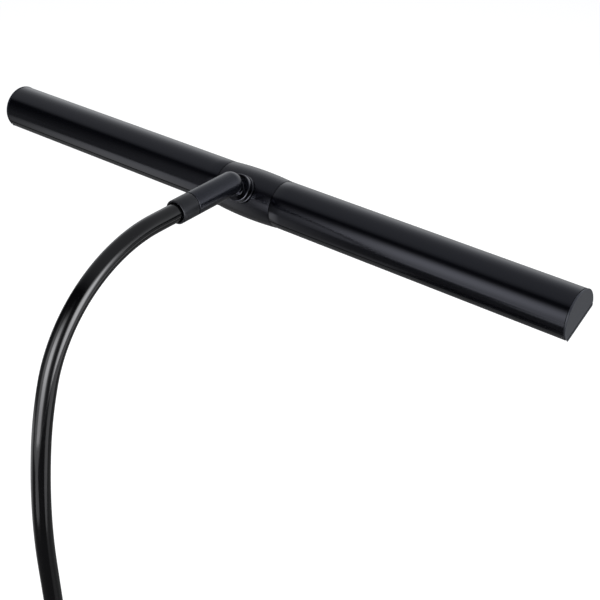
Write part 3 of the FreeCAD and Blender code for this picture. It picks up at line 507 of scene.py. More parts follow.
@dataclass(frozen=True)
class Finish:
    """How one surface looks: two close colours, its gloss, and its fine relief."""

    name: str
    slot: str
    colour: Colour
    shade: Colour
    roughness: float
    drift: float = 0.05
    patch: float = 30.0
    grain: float = 1.0
    relief: float = 0.0
    specks: float = 0.0
    stretch: tuple[float, float, float] = (1.0, 1.0, 1.0)
    metallic: float = 0.0
    specular: float = 0.5
    tint: Colour = (1.0, 1.0, 1.0)
    subsurface: float = 0.0
    light_depth: float = 1.5

    def material(self, groups: Groups) -> bpy.types.Material:
        """Build the material.

        Args:
            groups: The shared node groups.

        Returns:
            The material, with its pattern on Object coordinates.
        """
        material, tree, shader = new_material(self.name)
        place = add_node(tree, "TexCoord").outputs["Object"]
        patches = add_node(tree, "Group", {
            "Vector": place, "Scale": 1.0 / (self.patch * MM), "Colour": (*self.colour, 1.0),
            "Shade": (*self.shade, 1.0), "Roughness": self.roughness, "Drift": self.drift},
            node_tree=groups.patches)
        feed(shader, {
            "Base Color": patches.outputs["Color"], "Roughness": patches.outputs["Roughness"],
            "Metallic": self.metallic, "Specular IOR Level": self.specular,
            "Specular Tint": (*self.tint, 1.0), "Subsurface Weight": self.subsurface,
            "Subsurface Scale": self.light_depth * MM})
        if self.relief > 0:
            grain = add_node(tree, "Group", {
                "Vector": place, "Scale": 1.0 / (self.grain * MM), "Stretch": self.stretch,
                "Specks": self.specks}, node_tree=groups.grain)
            bump = add_node(tree, "Bump", {"Distance": self.relief * MM, "Height": grain.outputs["Height"]})
            feed(shader, {"Normal": bump.outputs["Normal"]})
        return material


BLUE_BLACK: Colour = (0.82, 0.845, 1.0)

BAR_PAINT = Finish(
    "bar_satin_black", "black_aluminium", (0.0007, 0.0008, 0.0017), (0.0013, 0.0014, 0.0024),
    roughness=0.165, drift=0.05, patch=14.0, grain=1.3, relief=0.0035, specks=0.3,
    stretch=(1.0, 0.35, 0.35), specular=0.54, tint=BLUE_BLACK)
HUB_PAINT = Finish(
    "hub_satin_black", "hub_aluminium", (0.0009, 0.0009, 0.0020), (0.0015, 0.0015, 0.0028), roughness=0.24,
    drift=0.04, patch=9.0, grain=0.7, relief=0.002, specks=0.2, specular=0.48, tint=BLUE_BLACK)
TUBE_PAINT = Finish(
    "swivel_satin_black", "black_steel", (0.0022, 0.0028, 0.0046), (0.0030, 0.0036, 0.0056), roughness=0.24,
    drift=0.03, patch=8.0, grain=0.6, relief=0.0015, specks=0.2, specular=0.58, tint=BLUE_BLACK)
ARM_PAINT = Finish(
    "arm_gloss_black", "black_steel", (0.0012, 0.0012, 0.0016), (0.0020, 0.0020, 0.0026), roughness=0.12,
    drift=0.03, patch=25.0, grain=1.6, relief=0.0015, specks=0.2, tint=(0.97, 0.97, 1.0))
RING_PAINT = Finish(
    "ring_gloss_black", "black_steel", (0.0008, 0.0008, 0.0014), (0.0013, 0.0013, 0.0020), roughness=0.09,
    drift=0.02, patch=5.0, specular=0.95, tint=BLUE_BLACK)
SLEEVE_PAINT = Finish(
    "sleeve_matte_black", "sleeve_black", (0.0044, 0.0047, 0.0060), (0.0064, 0.0067, 0.0084),
    roughness=0.36, drift=0.05, patch=4.0, grain=0.25, relief=0.004, specks=0.5, specular=0.40,
    tint=(0.90, 0.92, 1.0))
CAP_PLASTIC = Finish(
    "cap_satin_black", "cap_plastic", (0.0240, 0.0262, 0.0345), (0.0325, 0.0352, 0.0450), roughness=0.33,
    drift=0.16, patch=2.2, grain=0.6, relief=0.018, specks=0.8, specular=0.84, tint=(0.885, 0.915, 1.0))
COVER_PAINT = Finish(
    "base_powder_coat", "cover_paint", (0.0070, 0.0073, 0.0082), (0.0100, 0.0104, 0.0115), roughness=0.42,
    drift=0.06, patch=18.0, grain=0.55, relief=0.010, specks=0.8)
PAD_FOAM = Finish(
    "pad_foam", "pad_rubber", (0.012, 0.012, 0.012), (0.020, 0.020, 0.020), roughness=0.85, drift=0.05,
    patch=6.0, grain=0.5, relief=0.03, specks=1.0)
BUTTON_PLASTIC = Finish(
    "button_satin_black", "button_plastic", (0.010, 0.010, 0.011), (0.013, 0.013, 0.014), roughness=0.36,
    drift=0.04, patch=6.0, grain=0.3, relief=0.003, specks=0.5)
JACK_PLASTIC = Finish(
    "jack_black", "jack_plastic", (0.006, 0.006, 0.006), (0.009, 0.009, 0.009), roughness=0.28, drift=0.04,
    patch=4.0, grain=0.4, relief=0.002, specks=0.4)
OPAL = Finish(
    "opal_diffuser", "diffuser_opal", (0.78, 0.78, 0.76), (0.81, 0.81, 0.79), roughness=0.42, drift=0.03,
    patch=40.0, grain=0.5, relief=0.0008, specks=0.2)
ZINC = Finish(
    "zinc_plate", "zinc_steel", (0.50, 0.51, 0.53), (0.58, 0.59, 0.60), roughness=0.32, drift=0.14,
    patch=9.0, grain=0.4, relief=0.002, specks=0.4, metallic=1.0)
SPRING = Finish(
    "spring_steel", "spring_steel", (0.38, 0.38, 0.39), (0.46, 0.46, 0.47), roughness=0.28, drift=0.10,
    patch=3.0, grain=0.3, relief=0.001, specks=0.3, metallic=1.0)
CAST_IRON = Finish(
    "cast_iron", "cast_weight", (0.060, 0.060, 0.062), (0.090, 0.088, 0.086), roughness=0.66, drift=0.12,
    patch=12.0, grain=0.9, relief=0.06, specks=0.8, metallic=0.6)
ALUMINIUM = Finish(
    "turned_aluminium", "plain_aluminium", (0.60, 0.60, 0.62), (0.68, 0.68, 0.69), roughness=0.34,
    drift=0.10, patch=6.0, grain=0.25, relief=0.003, specks=0.4, stretch=(0.3, 1.0, 1.0), metallic=1.0)
ACETAL = Finish(
    "natural_acetal", "bush_plastic", (0.72, 0.72, 0.69), (0.78, 0.78, 0.75), roughness=0.40, drift=0.05,
    patch=5.0, grain=0.4, relief=0.002, specks=0.4, subsurface=0.1)
BOARD_GREEN = Finish(
    "green_board", "board_green", (0.010, 0.100, 0.040), (0.016, 0.130, 0.055), roughness=0.34, drift=0.06,
    patch=5.0, grain=0.6, relief=0.01, specks=0.6)
BOARD_WHITE = Finish(
    "white_board", "board_white", (0.78, 0.78, 0.76), (0.84, 0.84, 0.82), roughness=0.34, drift=0.05,
    patch=8.0, grain=0.6, relief=0.004, specks=0.5)
PHOSPHOR = Finish(
    "led_phosphor", "led_yellow", (0.80, 0.60, 0.10), (0.86, 0.68, 0.16), roughness=0.30, drift=0.04,
    patch=1.5, grain=0.3, relief=0.003, specks=0.5)
LEAD_PVC = Finish(
    "lead_black", "lead_rubber", (0.010, 0.010, 0.010), (0.016, 0.016, 0.016), roughness=0.46, drift=0.05,
    patch=3.0, grain=0.4, relief=0.003, specks=0.4)

KEPT_NODES: dict[Finish, tuple[str, ...]] = {
    CAST_IRON: ("base_weight",),
    ZINC: ("base_plate", "plate_screws", "socket_nut", "jack_nut", "board_screws", "collar_screw",
           "sleeve_screw", "swivel_stud", "pivot_washer", "pivot_nut", "head_axle", "plug_screws"),
    ACETAL: ("socket_bush", "board_spacers", "swivel_bush", "axle_bushes"),
    SPRING: ("arm_clip", "stud_clip", "tilt_washers"),
    ALUMINIUM: ("left_plug", "right_plug"),
    BUTTON_PLASTIC: ("button_guide",),
    JACK_PLASTIC: ("tact_switch",),
    BOARD_GREEN: ("control_board",),
    BOARD_WHITE: ("left_led_board", "right_led_board"),
    PHOSPHOR: ("left_leds", "right_leds"),
    LEAD_PVC: ("base_lead", "arm_lead", "swivel_lead", "head_lead"),
}


class Workshop:
    """Gives pieces their finishes, and ties them to the bodies and nodes that they stand for."""

    def __init__(self) -> None:
        """Start with the shared node groups and no materials."""
        self.groups = Groups()
        self.materials: dict[str, bpy.types.Material] = {}

    def material(self, finish: Finish) -> bpy.types.Material:
        """The material of a finish, made the first time that it is asked for."""
        if finish.name not in self.materials:
            self.materials[finish.name] = finish.material(self.groups)
        return self.materials[finish.name]

    def fit(self, piece: Piece, body: str, finish: Finish, *nodes: str) -> None:
        """Dress a piece, ride it on a body and let it stand for solids.

        Args:
            piece: The finished object.
            body: The body that carries it.
            finish: Its surface.
            nodes: The solids that it replaces.
        """
        piece.data.materials.clear()
        piece.data.materials.append(self.material(finish))
        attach(piece, body)
        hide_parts(*nodes)
        LOG.info("%s: %d faces on %s", piece.name, len(piece.data.polygons), body)

    def dress_kept(self) -> None:
        """Give each solid that stays its own finish."""
        for finish, nodes in KEPT_NODES.items():
            for solid in (frame["nodes"][node] for node in nodes):
                if not solid.material_slots:
                    solid.data.materials.append(None)
                for slot in solid.material_slots:
                    slot.material = self.material(finish)


# ---------------------------------------------------------------- light bar

class Side(Enum):
    """The halves of the light bar, by the way that each runs along X."""

    LEFT = -1
    RIGHT = 1


@dataclass
class BarHalf:
    """One half of the light bar: an extruded D profile with its end cap and its diffuser."""

    side: Side
    radius: float = 15.2
    flat_depth: float = 6.45
    tilt: float = 21.2
    wall: float = 1.5
    lip: float = 1.1
    slot_half: float = 10.6
    corner: float = 0.55
    groove_rise: float = 6.3
    groove_depth: float = 0.32
    groove_flat: float = 0.012
    groove_end: float = 0.034
    half_length: float = 225.0
    cap_thick: float = 1.4
    cap_overlap: float = 0.2
    cap_corner: float = 0.9
    cap_edge: float = 0.26
    cap_gap: float = 1.0
    cap_gap_depth: float = 0.7
    cap_gap_edge: float = 0.1
    foot_line: float = 1.5
    foot_line_width: float = 0.75
    foot_line_depth: float = 0.5
    foot_line_half: float = 20.0
    foot_line_past: float = 1.0
    spigot: float = 4.0
    spigot_root: float = 0.4
    shelf_height: float = 1.8
    shelf_thick: float = 1.2
    diffuser_thick: float = 1.6
    diffuser_half: float = 12.2
    diffuser_play: float = 0.4
    diffuser_sunk: float = 0.35
    diffuser_squareness: float = 10.0
    end_edge: float = 0.18
    end_edge_knee: float = 0.3
    end_break: float = 0.05
    plain_inset: float = 8.0
    plain_stations: int = 24
    seam: float = 22.65
    plug_end: float = 35.25
    clearance: float = 0.1
    corner_points: int = 9
    arc_points: int = 181
    chamber_points: int = 121
    edge_points: int = 6
    spigot_points: int = 61
    crown_points: int = 25
    profile_smooth: float = 25.0
    cap_smooth: float = 40.0
    diffuser_smooth: float = 30.0
    centre: np.ndarray = field(default_factory=lambda: joint_place(Joint.BAR))

    @property
    def word(self) -> str:
        """Left or right, as the solids' names have it."""
        return self.side.name.lower()

    def axes(self) -> Axes:
        """The half's frame: u across the flat, v away from it, and w outwards along the bar."""
        lean = math.radians(self.tilt)
        across = np.array([0.0, math.cos(lean), math.sin(lean)])
        away = np.array([0.0, -math.sin(lean), math.cos(lean)])
        return Axes(self.centre, across, away, np.array([self.side.value, 0.0, 0.0]))

    def d_outline(self, grow: float, corner: float, groove: bool = False) -> np.ndarray:
        """The D section: a circle cut by a flat, with round corners.

        A corner's centre lies at the circle's radius less the corner's from the middle, and the corner's
        radius above the flat, so that its arc is tangent to both. The groove is at its full depth within
        groove_flat radians of its middle, and slopes out over as many more.

        Args:
            grow: How much larger than the profile it is.
            corner: Radius of the two corners.
            groove: Sink a shallow groove along the arc above each corner.

        Returns:
            The anticlockwise outline, from the flat's right end round to its left.
        """
        radius, floor = self.radius + grow, -(self.flat_depth + grow)
        high = floor + corner
        reach = math.sqrt((radius - corner) ** 2 - high ** 2)
        start = math.atan2(high, reach)
        right = on_circle(corner, np.linspace(-math.pi / 2, start, self.corner_points), (reach, high))
        angle = np.linspace(start, math.pi - start, self.arc_points)[1:-1]
        distance = radius
        if groove:
            flat, end = self.groove_flat, self.groove_end
            middle = math.asin((floor + self.groove_rise) / radius)
            fine = middle + np.array([-end, -2 * flat, -flat, 0.0, flat, 2 * flat, end])
            angle = np.sort(np.concatenate([angle, fine, math.pi - fine]))
            sunk = sum(np.clip(2 - np.abs(angle - place) / flat, 0, 1)
                       for place in (middle, math.pi - middle))
            distance = radius - self.groove_depth * sunk
        return np.concatenate([right, on_circle(distance, angle), right[::-1] * [-1, 1]])

    def section(self) -> np.ndarray:
        """The metal's section: the D outside, open at the slot, and the chamber's wall inside."""
        inner = self.radius - self.wall
        ledge = self.lip - self.flat_depth
        start = math.asin(ledge / inner)
        chamber = on_circle(inner, np.linspace(math.pi - start, start, self.chamber_points))
        slot_left = np.array([(-self.slot_half, -self.flat_depth), (-self.slot_half, ledge)])
        outside = self.d_outline(0.0, self.corner, groove=True)
        return np.concatenate([outside, slot_left, chamber, slot_left[::-1] * [-1, 1]])

    def carried(self, outline: np.ndarray, stations: Sequence[tuple[float, float]]) -> np.ndarray:
        """An outline carried along the bar, drawn in by a little at some stations.

        Args:
            outline: The section.
            stations: Distances along the bar, each with its inset.

        Returns:
            A grid of shape (stations, points, 3).
        """
        rows = [np.column_stack([inset(outline, draw), np.full(len(outline), along)])
                for along, draw in stations]
        return self.axes().place(np.stack(rows))

    def straight(self, outline: np.ndarray, start: float, end: float) -> np.ndarray:
        """An outline carried straight along the bar from a start to an end, as a grid of two rows."""
        return self.carried(outline, [(start, 0.0), (end, 0.0)])

    def housing(self) -> Piece:
        """The half's profile, with its shelf inside."""
        end = self.half_length - self.cap_thick
        edge, knee = self.end_edge, self.end_edge_knee * self.end_edge
        stations = [(self.seam, edge), (self.seam + knee, knee), (self.seam + edge, 0.0)]
        plain = np.linspace(self.seam + self.plain_inset, end - self.plain_inset, self.plain_stations)
        stations += [(along, 0.0) for along in plain]
        stations += [(end - self.end_break, 0.0), (end, self.end_break)]
        low, high = self.shelf_height, self.shelf_height + self.shelf_thick
        half = math.sqrt((self.radius - self.wall) ** 2 - high ** 2)
        shelf = np.array([(-half, low), (half, low), (half, high), (-half, high)])
        shell = Shell().bar(self.carried(self.section(), stations))
        shell.bar(self.straight(shelf, self.plug_end, end))
        return shell.build(self.word + "_profile", self.profile_smooth)

    def end_cap(self) -> Piece:
        """The end cap: a D plate with a soft outer edge, a line near its foot and a spigot."""
        inside, edge = self.half_length - self.cap_thick, self.cap_edge
        gap, sunk, rim = inside + self.cap_gap, self.cap_gap_depth, self.cap_gap_edge
        stations = [(inside, sunk), (gap, sunk), (gap, rim), (gap + rim, 0.0)]
        stations += [(self.half_length - edge + edge * math.sin(a), edge * (1 - math.cos(a)))
                     for a in quarter(self.edge_points)]
        plate = self.carried(self.d_outline(self.cap_overlap, self.cap_corner), stations)
        inner = self.radius - self.wall - self.clearance
        start = math.asin((self.shelf_height + self.shelf_thick + self.clearance) / inner)
        outline = on_circle(inner, np.linspace(start, math.pi - start, self.spigot_points))
        plug = self.straight(outline, inside - self.spigot, inside + self.spigot_root)
        half, low = self.foot_line_half, self.foot_line - self.flat_depth
        high = low + self.foot_line_width
        line = np.array([(-half, low), (half, low), (half, high), (-half, high)])
        cut = self.straight(line, self.half_length - self.foot_line_depth,
                            self.half_length + self.foot_line_past)
        cap = Shell().bar(plate).bar(plug).build(self.word + "_cap", self.cap_smooth)
        return weighted(bored(cap, Shell().bar(cut).build("drill")))

    def diffuser(self) -> Piece:
        """The opal strip behind the slot: a flat bar, crowned by 1 - reach to a high power in the slot."""
        low = self.lip - self.flat_depth
        high = low + self.diffuser_thick
        across = self.diffuser_half * np.linspace(-1, 1, self.crown_points)
        reach = np.abs(across / (self.slot_half - self.diffuser_play))
        rise = np.clip(1 - reach ** self.diffuser_squareness, 0, 1)
        under = np.stack([across, low - (self.lip - self.diffuser_sunk) * rise], axis=1)
        outline = np.concatenate([under, [(self.diffuser_half, high), (-self.diffuser_half, high)]])
        start, end = self.plug_end + self.clearance, self.half_length - self.cap_thick - self.clearance
        shell = Shell().bar(self.straight(outline, start, end))
        return shell.build(self.word + "_opal", self.diffuser_smooth)

    def make(self, shop: Workshop) -> None:
        """Build and fit the half."""
        shop.fit(self.housing(), "head", BAR_PAINT, self.word + "_housing")
        shop.fit(self.end_cap(), "head", CAP_PLASTIC, self.word + "_end_cap")
        shop.fit(self.diffuser(), "head", OPAL, self.word + "_diffuser")


# ---------------------------------------------------------------- hub and collar

@dataclass
class Hub:
    """The barrel between the two halves of the bar, with the lower ring of its collar."""

    half_length: float = 22.25
    end_radius: float = 15.2
    swell: float = 0.95
    bore: float = 10.0
    bore_edge: float = 0.3
    bore_wall: float = 2.0
    edge: float = 0.32
    post_hole: float = 3.55
    post_hole_start: float = 5.0
    post_hole_end: float = 30.0
    neck_radius: float = 8.2
    neck_start: float = 12.4
    neck_fillet: float = 0.2
    ring_radius: float = 8.95
    ring_start: float = 15.0
    ring_end: float = 17.6
    ring_low_edge: float = 0.4
    ring_edge: float = 0.5
    swell_points: int = 65
    edge_points: int = 6
    bore_edge_points: int = 4
    barrel_segments: int = 160
    centre: np.ndarray = field(default_factory=lambda: joint_place(Joint.HUB))
    collar: np.ndarray = field(default_factory=lambda: joint_axis(Joint.HUB))

    def barrel(self) -> Piece:
        """The barrel: its radius swells by a parabola, largest in the middle, and it is bored through."""
        half, wall = self.half_length, self.bore + self.bore_wall
        along = np.linspace(-1, 1, self.swell_points) * (half - self.edge)
        outer = self.end_radius + self.swell * (1 - (along / half) ** 2)
        rim = on_circle(self.edge, quarter(self.edge_points), (outer[-1] - self.edge, along[-1]))
        bore = rounded([(self.bore, half, self.bore_edge), (self.bore, -half, self.bore_edge),
                        (wall, -half, 0), (wall, half, 0)], self.bore_edge_points)
        profile = np.concatenate([rim[::-1] * [1, -1], np.stack([outer, along], axis=1), rim,
                                  bore[:2 * self.bore_edge_points]])
        barrel = turned("hub_barrel", profile, axes_along(self.centre, RIGHT), self.barrel_segments)
        post_way = axes_along(self.centre, self.collar)
        return bored(barrel, drill(post_way, self.post_hole, self.post_hole_start, self.post_hole_end))

    def ring(self) -> Piece:
        """The collar's lower ring, on a neck that grows out of the barrel."""
        profile = rounded([
            (self.post_hole, self.neck_start, 0), (self.neck_radius, self.neck_start, 0),
            (self.neck_radius, self.ring_start, self.neck_fillet),
            (self.ring_radius, self.ring_start, self.ring_low_edge),
            (self.ring_radius, self.ring_end, self.ring_edge), (self.post_hole, self.ring_end, 0)])
        return turned("hub_ring", profile, axes_along(self.centre, self.collar))

    def make(self, shop: Workshop) -> None:
        """Build and fit the hub."""
        shop.fit(self.barrel(), "hub", HUB_PAINT, "head_hub")
        shop.fit(self.ring(), "hub", RING_PAINT, "collar_ring")


@dataclass
class Swivel:
    """The short swivel tube with its round end, and the pivot post that joins it to the hub."""

    radius: float = 7.5
    bore: float = 5.4
    edge: float = 0.3
    dome_reach: float = 24.4
    bore_reach: float = 31.0
    seam_half: float = 0.2
    neck_radius: float = 4.6
    neck_end: float = 27.0
    neck_fillet: float = 0.35
    post_radius: float = 3.5
    post_bore: float = 1.5
    post_end: float = 6.6
    post_edge: float = 0.3
    ring_radius: float = 8.7
    ring_start: float = 17.85
    ring_end: float = 21.4
    ring_low_edge: float = 0.44
    ring_edge: float = 0.55
    nose_points: int = 25
    seam: np.ndarray = field(default_factory=lambda: joint_place(Joint.TUBE))
    centre: np.ndarray = field(default_factory=lambda: joint_place(Joint.HUB))
    collar: np.ndarray = field(default_factory=lambda: joint_axis(Joint.HUB))

    def tube(self) -> Piece:
        """The tube: a round bar that ends in a half sphere, bored from its open end."""
        reach = self.centre[1] - self.seam[1]
        dome, floor = reach - self.dome_reach, reach - self.bore_reach
        back = rounded([(self.bore, floor, 0), (self.bore, self.seam_half, self.edge),
                        (self.radius, self.seam_half, self.edge), (self.radius, dome, 0)])
        nose = on_circle(self.radius, quarter(self.nose_points), (0.0, dome))
        profile = np.concatenate([[(0.0, floor)], back[:-1], nose])
        return turned("swivel_tube_body", profile, axes_along(self.seam, AHEAD), hollow=False)

    def post(self) -> Piece:
        """The pivot post: shank, ring and neck in one turned piece."""
        profile = rounded([
            (self.post_bore, self.post_end, 0), (self.post_radius, self.post_end, self.post_edge),
            (self.post_radius, self.ring_start, 0), (self.ring_radius, self.ring_start, self.ring_low_edge),
            (self.ring_radius, self.ring_end, self.ring_edge),
            (self.neck_radius, self.ring_end, self.neck_fillet), (self.neck_radius, self.neck_end, 0),
            (self.post_bore, self.neck_end, 0)])
        return turned("pivot_post_body", profile, axes_along(self.centre, self.collar))

    def make(self, shop: Workshop) -> None:
        """Build and fit the swivel."""
        shop.fit(self.tube(), "swivel", TUBE_PAINT, "swivel_tube")
        shop.fit(self.post(), "swivel", RING_PAINT, "pivot_post")


# ---------------------------------------------------------------- arm

@dataclass
class Arm:
    """The bent arm tube, the collar at its foot and the sleeve on its end."""

    radius: float = 5.7
    wall: float = 1.7
    bottom: float = 8.2
    leg_top: float = 220.0
    bends: Pairs = ((440.0, 11.0), (250.0, 9.0), (95.3, 70.0))
    top_straight: float = 28.1
    leg_stations: int = 24
    top_stations: int = 6
    bend_stations: int = 12
    stations_per_degree: float = 1.2
    wall_segments: int = 96
    wall_smooth: float = 40.0
    sleeve_radius: float = 7.5
    sleeve_length: float = 13.0
    sleeve_edge: float = 0.45
    sleeve_bore: float = 5.76
    sleeve_bore_edge: float = 0.1
    mouth: float = 0.75
    mouth_depth: float = 1.2
    mouth_edge: float = 0.12
    sleeve_front: float = 1.8
    sleeve_tap: tuple[float, float] = (4.4, 9.0)
    seam_half: float = 0.2
    stud_hole: float = 4.05
    collar_radius: float = 9.0
    collar_bore: float = 5.73
    collar_edge: float = 0.8
    collar_low_edge: float = 0.2
    collar_top_edge: float = 0.4
    collar_tap: tuple[float, float] = (4.5, 12.0)
    grub_radius: float = 1.53
    grub_segments: int = 32
    foot: np.ndarray = field(default_factory=lambda: joint_place(Joint.ARM))
    seam: np.ndarray = field(default_factory=lambda: joint_place(Joint.TUBE))

    def line(self) -> tuple[np.ndarray, np.ndarray]:
        """The arm's line: straight up, three tangent arcs that tighten, and straight on, all in the YZ plane.

        On an arc of radius R a lean of a degrees adds R (cos a0 - cos a) forwards and R (sin a - sin a0) up.

        Returns:
            The stations and the unit heading at each.
        """
        here = np.array([0.0, self.foot[1], self.leg_top])
        places = [np.linspace([0.0, self.foot[1], self.bottom], here, self.leg_stations)[:-1]]
        leans = [np.zeros(self.leg_stations - 1)]
        lean = 0.0
        for radius, angle in self.bends:
            count = max(self.bend_stations, int(angle * self.stations_per_degree))
            steps = np.radians(np.linspace(lean, lean + angle, count))
            forward = radius * (math.cos(steps[0]) - np.cos(steps))
            up = radius * (np.sin(steps) - math.sin(steps[0]))
            bend = here + np.stack([0 * up, forward, up], axis=1)
            places.append(bend[:-1])
            leans.append(steps[:-1])
            here = bend[-1]
            lean += angle
        places.append(np.linspace(here, here + [0.0, self.top_straight, 0.0], self.top_stations))
        leans.append(np.full(self.top_stations, math.pi / 2))
        turn = np.concatenate(leans)
        heading = np.stack([0 * turn, np.sin(turn), np.cos(turn)], axis=1)
        return np.concatenate(places), heading

    def tube(self) -> Piece:
        """The arm tube: its outer wall out and its inner wall back, closed at both ends.

        Each station's ring lies at line + r (cos a side + sin a (heading x side)), with side along +X.
        """
        line, heading = self.line()
        angle = np.linspace(0, FULL_TURN, self.wall_segments, endpoint=False)[None, :, None]
        ring = np.cos(angle) * np.array(RIGHT) + np.sin(angle) * np.cross(heading, RIGHT)[:, None, :]
        outer, inner = (line[:, None, :] + radius * ring for radius in (self.radius, self.radius - self.wall))
        shell = Shell().grid(np.concatenate([outer, inner[::-1]]), close_rows=True, close_columns=True)
        return shell.build("arm_tube_body", self.wall_smooth)

    def sleeve(self) -> Piece:
        """The sleeve: a short thick tube with a step for the stud and a wide mouth for the arm."""
        front = -self.seam_half
        back, seat = front - self.sleeve_length, front - self.sleeve_front
        profile = rounded([
            (self.stud_hole, front, self.sleeve_bore_edge), (self.sleeve_radius, front, self.sleeve_edge),
            (self.sleeve_radius, back, self.sleeve_edge),
            (self.sleeve_bore + self.mouth, back, self.mouth_edge),
            (self.sleeve_bore, back + self.mouth_depth, self.sleeve_bore_edge), (self.sleeve_bore, seat, 0),
            (self.stud_hole, seat, 0)])
        sleeve = turned("sleeve_body", profile, axes_along(self.seam, AHEAD))
        middle = self.seam + [0.0, front - self.sleeve_length / 2, 0.0]
        return bored(sleeve, drill(axes_along(middle, (0, 0, -1)), self.grub_radius, *self.sleeve_tap,
                                   self.grub_segments))

    def collar(self) -> Piece:
        """The collar at the arm's foot, with the hole of its grub screw."""
        (_, _, low), (_, _, high) = node_box("arm_collar")
        profile = rounded([
            (self.collar_bore, low, self.collar_low_edge), (self.collar_radius, low, self.collar_edge),
            (self.collar_radius, high, self.collar_edge), (self.collar_bore, high, self.collar_top_edge)])
        collar = turned("collar_body", profile, upright(self.foot))
        middle = (self.foot[0], self.foot[1], (low + high) / 2)
        return bored(collar, drill(axes_along(middle, (0, -1, 0)), self.grub_radius, *self.collar_tap,
                                   self.grub_segments))

    def make(self, shop: Workshop) -> None:
        """Build and fit the arm."""
        shop.fit(self.tube(), "arm", ARM_PAINT, "arm_tube")
        shop.fit(self.sleeve(), "arm", SLEEVE_PAINT, "arm_sleeve")
        shop.fit(self.collar(), "arm", ARM_PAINT, "arm_collar")


# ---------------------------------------------------------------- base

